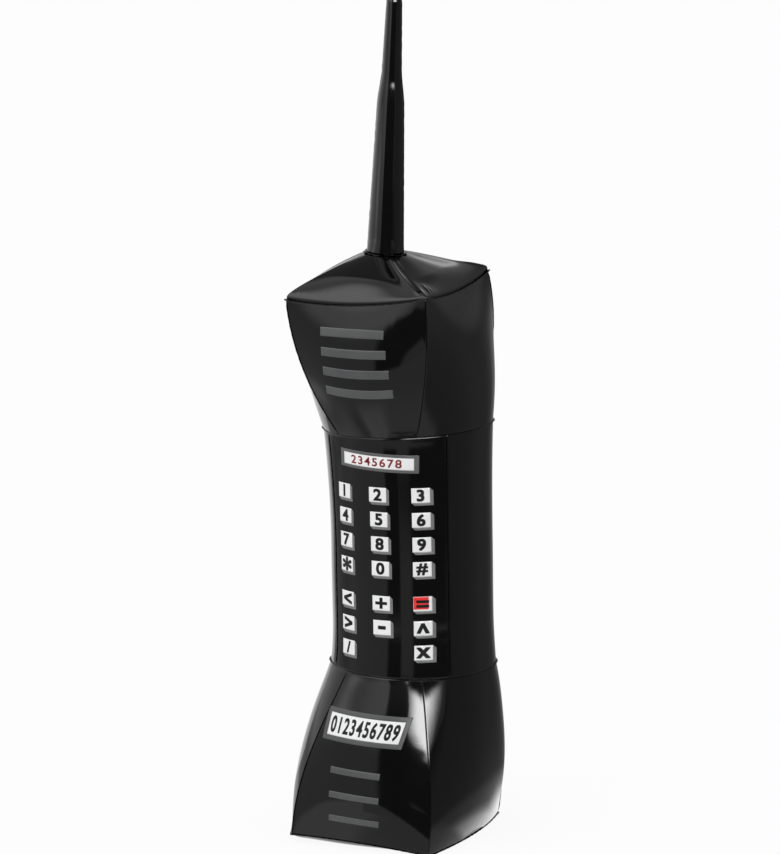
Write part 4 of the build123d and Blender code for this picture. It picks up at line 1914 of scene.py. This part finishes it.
@dataclass
class Graphics:
    """Every printed piece: grilles, name plate, display and keys."""

    shop: Workshop
    body: Body
    ear: Bars = Bars(
        count=4,
        start=-31 * MM,
        pitch=-17.8 * MM,
        width=61.5 * MM,
        height=8 * MM,
        shift=-2 * MM,
        growth=1.3 * MM,
        step=1 * MM,
        sag=0.6 * MM,
    )
    mouth: Bars = Bars(3, 23 * MM, 21.5 * MM, 49.5 * MM, 5.8 * MM, -3.8 * MM, tilt=-2.7)
    plate: Framed = Framed(
        "plate",
        "plate_field",
        "lower",
        drop=44 * MM,
        shift=0.1 * MM,
        size=(81.5 * MM, 27.4 * MM),
        border=(4.3 * MM, 4.3 * MM),
        form=(-2.0, 0.12, 2.0),
        frame_ink=GREY_INK,
        ink=DIGIT_INK,
        words="0123456789",
        letters=Lettering(13.6 * MM, 0.62, 1.2, 0.02),
    )
    display: Framed = Framed(
        "display",
        "display_window",
        "keypad",
        drop=22 * MM,
        shift=-3.6 * MM,
        size=(76.6 * MM, 16.4 * MM),
        border=(2.8 * MM, 4 * MM),
        form=(-2.1,),
        frame_ink=FRAME_INK,
        ink=DISPLAY_INK,
        words="2345678",
        letters=Lettering(7.6 * MM, 1.14, 1.24, 0.012),
        room=-0.8 * MM,
    )
    key_width: float = 16.9 * MM
    key_height: float = 13.3 * MM
    key_cell: float = 1.0 * MM
    key_shadow: float = 2.5 * MM
    key_angle: float = 30.1
    key_turn: float = -1.7
    key_lean: float = 0.25
    key_drop: float = 51.5 * MM
    key_pitch: float = 22.3 * MM
    key_gap: float = 9.2 * MM
    key_letters: Lettering = Lettering(10.3 * MM, 1.13)
    red_shift: Pair = (-1.2 * MM, 0.7 * MM)
    red_inset: Pair = (2.8 * MM, 2 * MM)
    red_lift: float = 0.04 * MM

    def grille(self, name: str, bars: Bars, tier: str, seam: float) -> None:
        """A stack of bars, all in one piece.

        Args:
            name: What speaks or hears behind them.
            bars: Their sizes.
            tier: Tier that they lie on.
            seam: Height of the seam that they are counted from.
        """
        layer = Print(self.body.skins[tier])
        patches = [layer.patch("bar", bars.box(row, seam)) for row in range(bars.count)]
        self.shop.fit(join(f"{name}_print", patches), GREY_INK, f"{name}_bars")

    def framed(self, what: Framed, x: float, z: float) -> None:
        """A framed field and its numbers, in three pieces.

        Args:
            what: The field.
            x: Place across that its shift is counted from.
            z: Height of its middle.
        """
        outer = Box2D(x + what.shift, z, *what.size, *what.form)
        inner = outer.shrunk(*what.border)
        layer = Print(self.body.skins[what.tier])
        rim = layer.border(f"{what.name}_border_print", outer, inner)
        self.shop.fit(rim, what.frame_ink, f"{what.name}_frame")
        self.shop.fit(layer.patch(f"{what.name}_print", inner), WHITE_INK, what.field)
        x, z = inner.place(what.room, 0.0)
        room = replace(inner, x=x, z=z)
        words = layer.text(f"{what.name}_numbers", what.words, room, what.letters)
        self.shop.fit(words, what.ink)

    def key_box(self, column: int, row: int) -> Box2D:
        """Box of a key: its edges lie on bearings round the tier, seen from the front.

        Args:
            column: -1, 0 or 1.
            row: 0 at the top.

        Returns:
            The box.
        """
        body = self.body
        gap = self.key_gap if row >= len(Keys.DIAL.value) else 0
        z = body.upper_waist - (self.key_drop + row * self.key_pitch + gap)
        share = (body.upper_waist - z) / (body.upper_waist - body.lower_waist)
        corner = body.skins["keypad"].outline.corners(np.array(share))[0]
        radius = float(np.hypot(corner[0], corner[1] - SETBACK))
        lean = self.key_lean * (row - 3) if column < 1 else 0.0
        bearing = body.keypad_turn + self.key_turn + lean + column * self.key_angle
        half = self.key_width / 2 / radius
        left, right = (radius * math.sin(math.radians(bearing) + edge) for edge in (-half, half))
        middle = float(body.spine.offset(z)) + (left + right) / 2
        return Box2D(middle, z, right - left, self.key_height)

    def shadow(self, layer: Print, box: Box2D) -> Object:
        """Drop shadow of a key: a band down its right edge and along its foot.

        Args:
            layer: Print of the key's tier.
            box: The key's box.

        Returns:
            The linked object.
        """
        right, left = box.x + box.width / 2, box.x - box.width / 2
        top, foot = box.z + box.height / 2, box.z - box.height / 2
        inner = np.array([(right, top), (right, foot), (left, foot)])
        return layer.band("shadow", inner, inner + (self.key_shadow, -self.key_shadow))

    def red_box(self, box: Box2D) -> Box2D:
        """Box of the red patch on a key, a little smaller than its face."""
        x, z = box.x + self.red_shift[0], box.z + self.red_shift[1]
        return Box2D(x, z, box.width - self.red_inset[0], box.height - self.red_inset[1])

    def keys(self) -> None:
        """Keys with drop shadows: a dial, and below it plain signs, one on red."""
        layer = Print(self.body.skins["keypad"], self.key_cell)
        faces, shadows, marks = [], [], []
        style = self.key_letters
        for row, line in enumerate(Keys.DIAL.value + Keys.SIGNS.value):
            for column, mark in enumerate(line, start=-1):
                if mark == " ":
                    continue
                box = self.key_box(column, row)
                shadows.append(self.shadow(layer, box))
                faces.append(layer.patch("face", box))
                size = MARK_SIZES.get(mark, 1.0)
                squeeze = style.squeeze * (box.width / self.key_width)
                fitted = Lettering(style.height * size, squeeze, bold=style.bold / size)
                marks.append(layer.text("mark", mark, box, fitted))
                if mark == RED_MARK:
                    red = layer.patch("red_key_print", self.red_box(box), self.red_lift)
        self.shop.fit(join("key_shadow_print", shadows), SHADOW_INK, "key_shadows")
        self.shop.fit(join("key_print", faces), WHITE_INK, "key_faces")
        self.shop.fit(red, RED_INK, "red_key_patch")
        self.shop.fit(join("key_marks", marks), DIGIT_INK)

    def build(self) -> None:
        """Prints everything."""
        body = self.body
        self.grille("earpiece", self.ear, "upper", body.top)
        self.grille("mouthpiece", self.mouth, "lower", body.foot)
        self.framed(self.plate, 0.0, body.lower_waist - self.plate.drop)
        z = body.upper_waist - self.display.drop
        turn = math.sin(math.radians(body.keypad_turn))
        self.framed(self.display, float(body.spine.offset(z)) + body.upper.radius * turn, z)
        self.keys()


@dataclass
class Valve:
    """Air valve: the frame's own parts, in soft milky vinyl."""

    shop: Workshop
    parts: tuple[str, ...] = ("valve_skirt", "valve_stem", "valve_plug", "valve_flap")

    def build(self) -> None:
        """Dresses the valve's parts."""
        for name in self.parts:
            MILKY_VINYL.dress(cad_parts[name], self.shop.made)
            log.info("%s: dressed", name)


# --- the studio
def direction(azimuth: float, elevation: float) -> Vector:
    """Unit vector from the object towards an azimuth and elevation, in degrees."""
    a, e = math.radians(azimuth), math.radians(elevation)
    return Vector((math.sin(a) * math.cos(e), -math.cos(a) * math.cos(e), math.sin(e)))


@dataclass(frozen=True)
class Lamp:
    """Soft square area lamp that faces the object and doesn't show in its gloss."""

    name: str = "soft_lamp"
    azimuth: float = -30.0
    elevation: float = 38.0
    distance: float = 2.3
    size: float = 1.3
    power: float = 9.0
    aim: float = 0.38

    def place(self) -> None:
        """Adds the lamp, turned so that it shines at the object's middle axis."""
        data = bpy.data.lights.new(self.name, "AREA")
        data.shape = "RECTANGLE"
        data.size = data.size_y = self.size
        data.energy = self.power
        item = add_object(self.name, data)
        item.visible_glossy = False
        back = direction(self.azimuth, self.elevation)
        item.location = Vector((0, 0, self.aim)) + back * self.distance
        item.rotation_euler = back.to_track_quat("Z", "Y").to_euler()


@dataclass(frozen=True)
class Surround:
    """Paper round the set that only shows in gloss, as a studio's screens and flags do.

    The near paper is a ring on the floor and a round wall, open at the back left, and
    a cone closes it above. A window in the wall, at the front right, shows a bright
    lamp's face on a far wall, and a low board stands close in front of the foot.

    Greys are 1 for white. Azimuths are in degrees, 0 in front of the keypad and
    growing to the right. Heights and distances from the middle are in metres.
    """

    inner: float = 0.08
    radius: float = 1.0
    wall_top: float = 1.15
    peak: float = 1.75
    floor_height: float = 0.003
    start: float = -122.0
    end: float = 212.0
    far: float = 2.2
    far_top: float = 2.6
    window_sides: Pair = (13.0, 74.0)
    window_foot: float = 0.43
    board_distance: float = 0.2
    board_height: float = 0.045
    board_edge: float = 16.0
    board_slant: float = 1.6e-3
    glow: float = 25.0
    dark: float = 0.09
    dim: float = 0.57
    pale: float = 0.75
    white: float = 1.5

    def screen(self, azimuth: Array, z: Array) -> Array:
        """Grey of the white screen at the front, from its dim foot to its bright top.

        Args:
            azimuth: In degrees.
            z: Height.

        Returns:
            Grey, with a bright spot at the front left.
        """
        level = lerp(self.pale, self.white, smoothstep(-62, -18, azimuth))
        grey = lerp(self.dim, level, smoothstep(0.38, 0.62, z)) + 0.25 * smoothstep(0.72, 0.84, z)
        return grey + 1.4 * bell(azimuth, -60, 11) * bell(z, 0.52, 0.07)

    def left(self, z: Array) -> Array:
        """Grey of the board at the left, paler in two steps upwards."""
        return lerp(0.35, self.pale, smoothstep(0.06, 0.18, z)) + 0.4 * smoothstep(0.42, 0.55, z)

    def ground(self, azimuth: Array) -> Array:
        """Grey of the ring on the floor, with a dark wedge and a pale one beside it."""
        return 0.65 - 0.25 * bell(azimuth, -50, 8) + 0.35 * window(azimuth, (-41, -37), (-14, 4))

    def sky(self, azimuth: Array) -> Array:
        """Grey over the wall, from dim at the back left to very bright in front."""
        return lerp(0.2, 0.9, smoothstep(-130, -108, azimuth)) + 2.1 * smoothstep(-84, -50, azimuth)

    def flag(self, azimuth: Array, z: Array) -> Array:
        """Grey of the dark flag at the front right, with a pale strip low on it."""
        strip = window(azimuth, (6, 9), (22, 27)) * (1 - smoothstep(0.06, 0.12, z))
        return lerp(lerp(self.dark, 0.3, smoothstep(0.5, 0.9, z)), 0.52, strip)

    def right(self, azimuth: Array, z: Array, reach: Array) -> Array:
        """Grey at the right and the back: a dim wall, and a floor that is white at the foot.

        Args:
            azimuth: In degrees.
            z: Height.
            reach: Distance from the middle.

        Returns:
            Grey.
        """
        wall = lerp(0.26, 0.13, smoothstep(122, 158, azimuth))
        wall += 0.12 * smoothstep(165, 182, azimuth)
        wall += 0.14 * smoothstep(0.44, 0.56, z) * smoothstep(126, 146, azimuth)
        edge = 0.122 + 0.06 * smoothstep(120, 150, azimuth)
        ring = lerp(wall, 0.45, 1 - smoothstep(0.15, 0.25, reach))
        return lerp(ring, 1.6, 1 - smoothstep(0.088, edge, reach))

    def shade(self, azimuth: Array, z: Array, reach: Array) -> Array:
        """Grey of the near paper: its parts, joined by soft steps.

        Args:
            azimuth: In degrees.
            z: Height.
            reach: Distance from the middle.

        Returns:
            Grey.
        """
        azimuth = (azimuth - self.start) % 360 + self.start
        grey = lerp(self.left(z), self.screen(azimuth, z), smoothstep(-86, -64, azimuth))
        grey = lerp(grey, self.ground(azimuth), 1 - smoothstep(0.32, 0.5, reach))
        grey += 0.6 * bell(azimuth, -82, 10) * bell(reach, 0.63, 0.1)
        grey = lerp(grey, self.sky(azimuth), smoothstep(0.82, 1.08, z))
        shut = smoothstep(-13, -9, azimuth) * smoothstep(0.86, 0.95, reach + z)
        grey = lerp(grey, self.flag(azimuth, z), shut)
        grey = lerp(grey, self.right(azimuth, z, reach), smoothstep(68, 82, azimuth))
        high_right = smoothstep(1.12, 1.2, z) * smoothstep(100, 125, azimuth)
        grey = lerp(grey, 0.17, high_right)
        peak = lerp(grey, 0.18, smoothstep(1.5, 1.58, z))
        return peak + bell(azimuth, 192, 6) * bell(z, 0.85, 0.07)

    def board(self, azimuth: Array, z: Array, reach: Array) -> Array:
        """Grey of the low board in front of the foot, dark past a slanted edge."""
        edge = smoothstep(-1.5, 1.5, azimuth - (self.board_edge - z / self.board_slant))
        return lerp(0.62, lerp(self.dark, 0.28, smoothstep(50, 66, azimuth)), edge)

    def lamp_face(self, azimuth: Array, z: Array, reach: Array) -> Array:
        """Grey of the far wall: a soft-edged bright patch on dark, lower to the right.

        Args:
            azimuth: In degrees.
            z: Height.
            reach: Distance from the middle, the same all over; not used.

        Returns:
            Grey.
        """
        top, low = 1.66 - 0.006 * (azimuth - 30), 1.085 - 0.0045 * (azimuth - 26)
        sides = window(azimuth, (8, 25), (48, 72))
        rows = window(z, (low - 0.07, low + 0.07), (top - 0.16, top + 0.16))
        return lerp(self.dark, 0.5, smoothstep(62, 76, azimuth)) + self.glow * sides * rows

    def sheet(self, name: str, azimuth: Array, reach: Array, z: Array, shade: Callable) -> None:
        """Adds one sheet, a profile carried round, with its greys on its points.

        Args:
            name: Name of the sheet.
            azimuth: Azimuths that it is carried through, in degrees.
            reach: Distances of its profile's points.
            z: Heights of its profile's points.
            shade: Grey from azimuth, height and distance.
        """
        turn, row = np.meshgrid(azimuth, np.arange(len(reach)))
        angle = np.radians(turn)
        places = np.stack([reach[row] * np.sin(angle), -reach[row] * np.cos(angle), z[row]], -1)
        points = places.reshape(-1, 3)
        quads = grid_quads(*turn.shape)
        item = link_mesh(name, points, quads[~self.in_window(points[quads].mean(1))])
        layer = item.data.attributes.new("shade", "FLOAT", "POINT")
        layer.data.foreach_set("value", shade(turn, z[row], reach[row]).ravel().astype(np.float32))
        material = bpy.data.materials.new(name)
        make = NodeMaker(material, "OutputMaterial")
        grey = make.add("Attribute", attribute_name="shade").outputs["Fac"]
        make.show(make.add("Emission", {"Strength": grey}))
        item.data.materials.append(material)
        for kind in ("camera", "diffuse", "shadow", "transmission"):
            setattr(item, "visible_" + kind, False)

    def in_window(self, middle: Array) -> Array:
        """Tells which faces of the near paper lie in its window.

        Args:
            middle: Middles of the faces, (n, 3).

        Returns:
            True for each face in the window.
        """
        bearing = np.degrees(np.arctan2(middle[:, 0], -middle[:, 1]))
        low, high = self.window_sides
        across = (bearing > low) & (bearing < high)
        near = np.hypot(*middle[:, :2].T) < self.far * 0.9
        return across & (middle[:, 2] > self.window_foot) & near

    def place(self) -> None:
        """Adds the near paper with its cone, the low board and the far wall."""
        slant = np.linspace(0, 1, 60)
        upright = np.linspace(0.0, self.wall_top, 90)[1:]
        flat, wall = lerp(self.inner, self.radius, slant), np.full(len(upright), self.radius)
        reach = np.concatenate([flat, wall])
        z = np.concatenate([np.full(len(slant), self.floor_height), upright])
        self.sheet("near_paper", np.arange(self.start, self.end + 0.1, 1.0), reach, z, self.shade)
        high = lerp(self.wall_top, self.peak, slant)
        whole = np.arange(-180, 180.1, 1.0)
        self.sheet("high_paper", whole, self.radius * (1 - slant), high, self.shade)
        low = np.linspace(0.0, self.board_height, 30)
        close = np.full(len(low), self.board_distance)
        self.sheet("low_board", np.arange(-12, 72.1, 0.5), close, low, self.board)
        tall = np.linspace(0.0, self.far_top, 120)
        away = np.full(len(tall), self.far)
        self.sheet("far_wall", np.arange(-20, 110.1, 1.0), away, tall, self.lamp_face)


@dataclass
class Studio:
    """Pale floor, white surroundings, soft lamp, grey paper and the camera."""

    floor_size: float = 60.0
    azimuth: float = 24.43
    elevation: float = 10.80
    roll: float = -0.85
    distance: float = 4.284
    target: float = 0.3706
    lens: float = 201.9
    sensor: float = 36.0
    glow_share: float = 0.92
    ambient: float = 0.85

    def floor(self) -> None:
        """Plain pale floor that keeps a soft shadow; part of it glows for lenses and gloss."""
        mesh = bpy.data.meshes.new("floor")
        corners = [(x, y, 0) for x, y in rectangle(self.floor_size, self.floor_size)]
        mesh.from_pydata(corners, [], [(0, 1, 2, 3)])
        item = add_object("floor", mesh)
        material = bpy.data.materials.new("floor")
        make = NodeMaker(material, "OutputMaterial")
        where = make.add("TexCoord").outputs["Object"]
        grain = make.ranged(make.noise(where, 3.0, 3.0), 0.86, 0.9)
        shade = make.add("CombineColor", {0: grain, 1: grain, 2: grain})
        matt = make.add("BsdfDiffuse", {"Color": shade.outputs[0]})
        glow = make.add("Emission")
        share = make.add("Math", {0: make.seen(), 1: self.glow_share}, operation="MULTIPLY")
        parts = {0: share.outputs[0], 1: matt.outputs[0], 2: glow.outputs[0]}
        make.show(make.add("MixShader", parts))
        mesh.materials.append(material)

    def world(self) -> None:
        """White for lens, gloss and clear things; a softer pale light on matt surfaces."""
        world = bpy.data.worlds.new("studio")
        bpy.context.scene.world = world
        make = NodeMaker(world, "OutputWorld")
        white = (1, 1, 1, 1)
        shown = make.add("Background", {"Color": white})
        lit = make.add("Background", {"Color": white, "Strength": self.ambient})
        parts = {0: make.seen(), 1: lit.outputs[0], 2: shown.outputs[0]}
        make.show(make.add("MixShader", parts))

    def camera(self) -> None:
        """Long lens to the right of the keypad side, looking slightly down."""
        data = bpy.data.cameras.new("camera")
        data.lens = self.lens
        data.sensor_width = self.sensor
        item = add_object("camera", data)
        back = direction(self.azimuth, self.elevation)
        right = direction(self.azimuth + 90, 0)
        up = back.cross(right)
        turn = math.radians(self.roll)
        side = right * math.cos(turn) + up * math.sin(turn)
        high = up * math.cos(turn) - right * math.sin(turn)
        place = Vector((0, 0, self.target)) + back * self.distance
        axes = Matrix((side, high, back)).transposed().to_4x4()
        item.matrix_world = Matrix.Translation(place) @ axes
        bpy.context.scene.camera = item

    def build(self) -> None:
        """Sets up the floor, the world, the lamp, the grey paper and the camera."""
        bpy.context.scene.view_settings.view_transform = "Standard"
        self.floor()
        self.world()
        Lamp().place()
        Surround().place()
        self.camera()


def main() -> None:
    """Builds the phone and its studio, and logs the pieces as they are made."""
    logging.basicConfig(level=logging.INFO, format="%(message)s")
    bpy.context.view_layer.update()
    Studio().build()
    shop = Workshop()
    body = Body(shop)
    antenna = Antenna(shop)
    body.build()
    Cap(shop, body, antenna).build()
    antenna.build()
    Graphics(shop, body).build()
    Valve(shop).build()


if __name__ == "__main__":
    main()
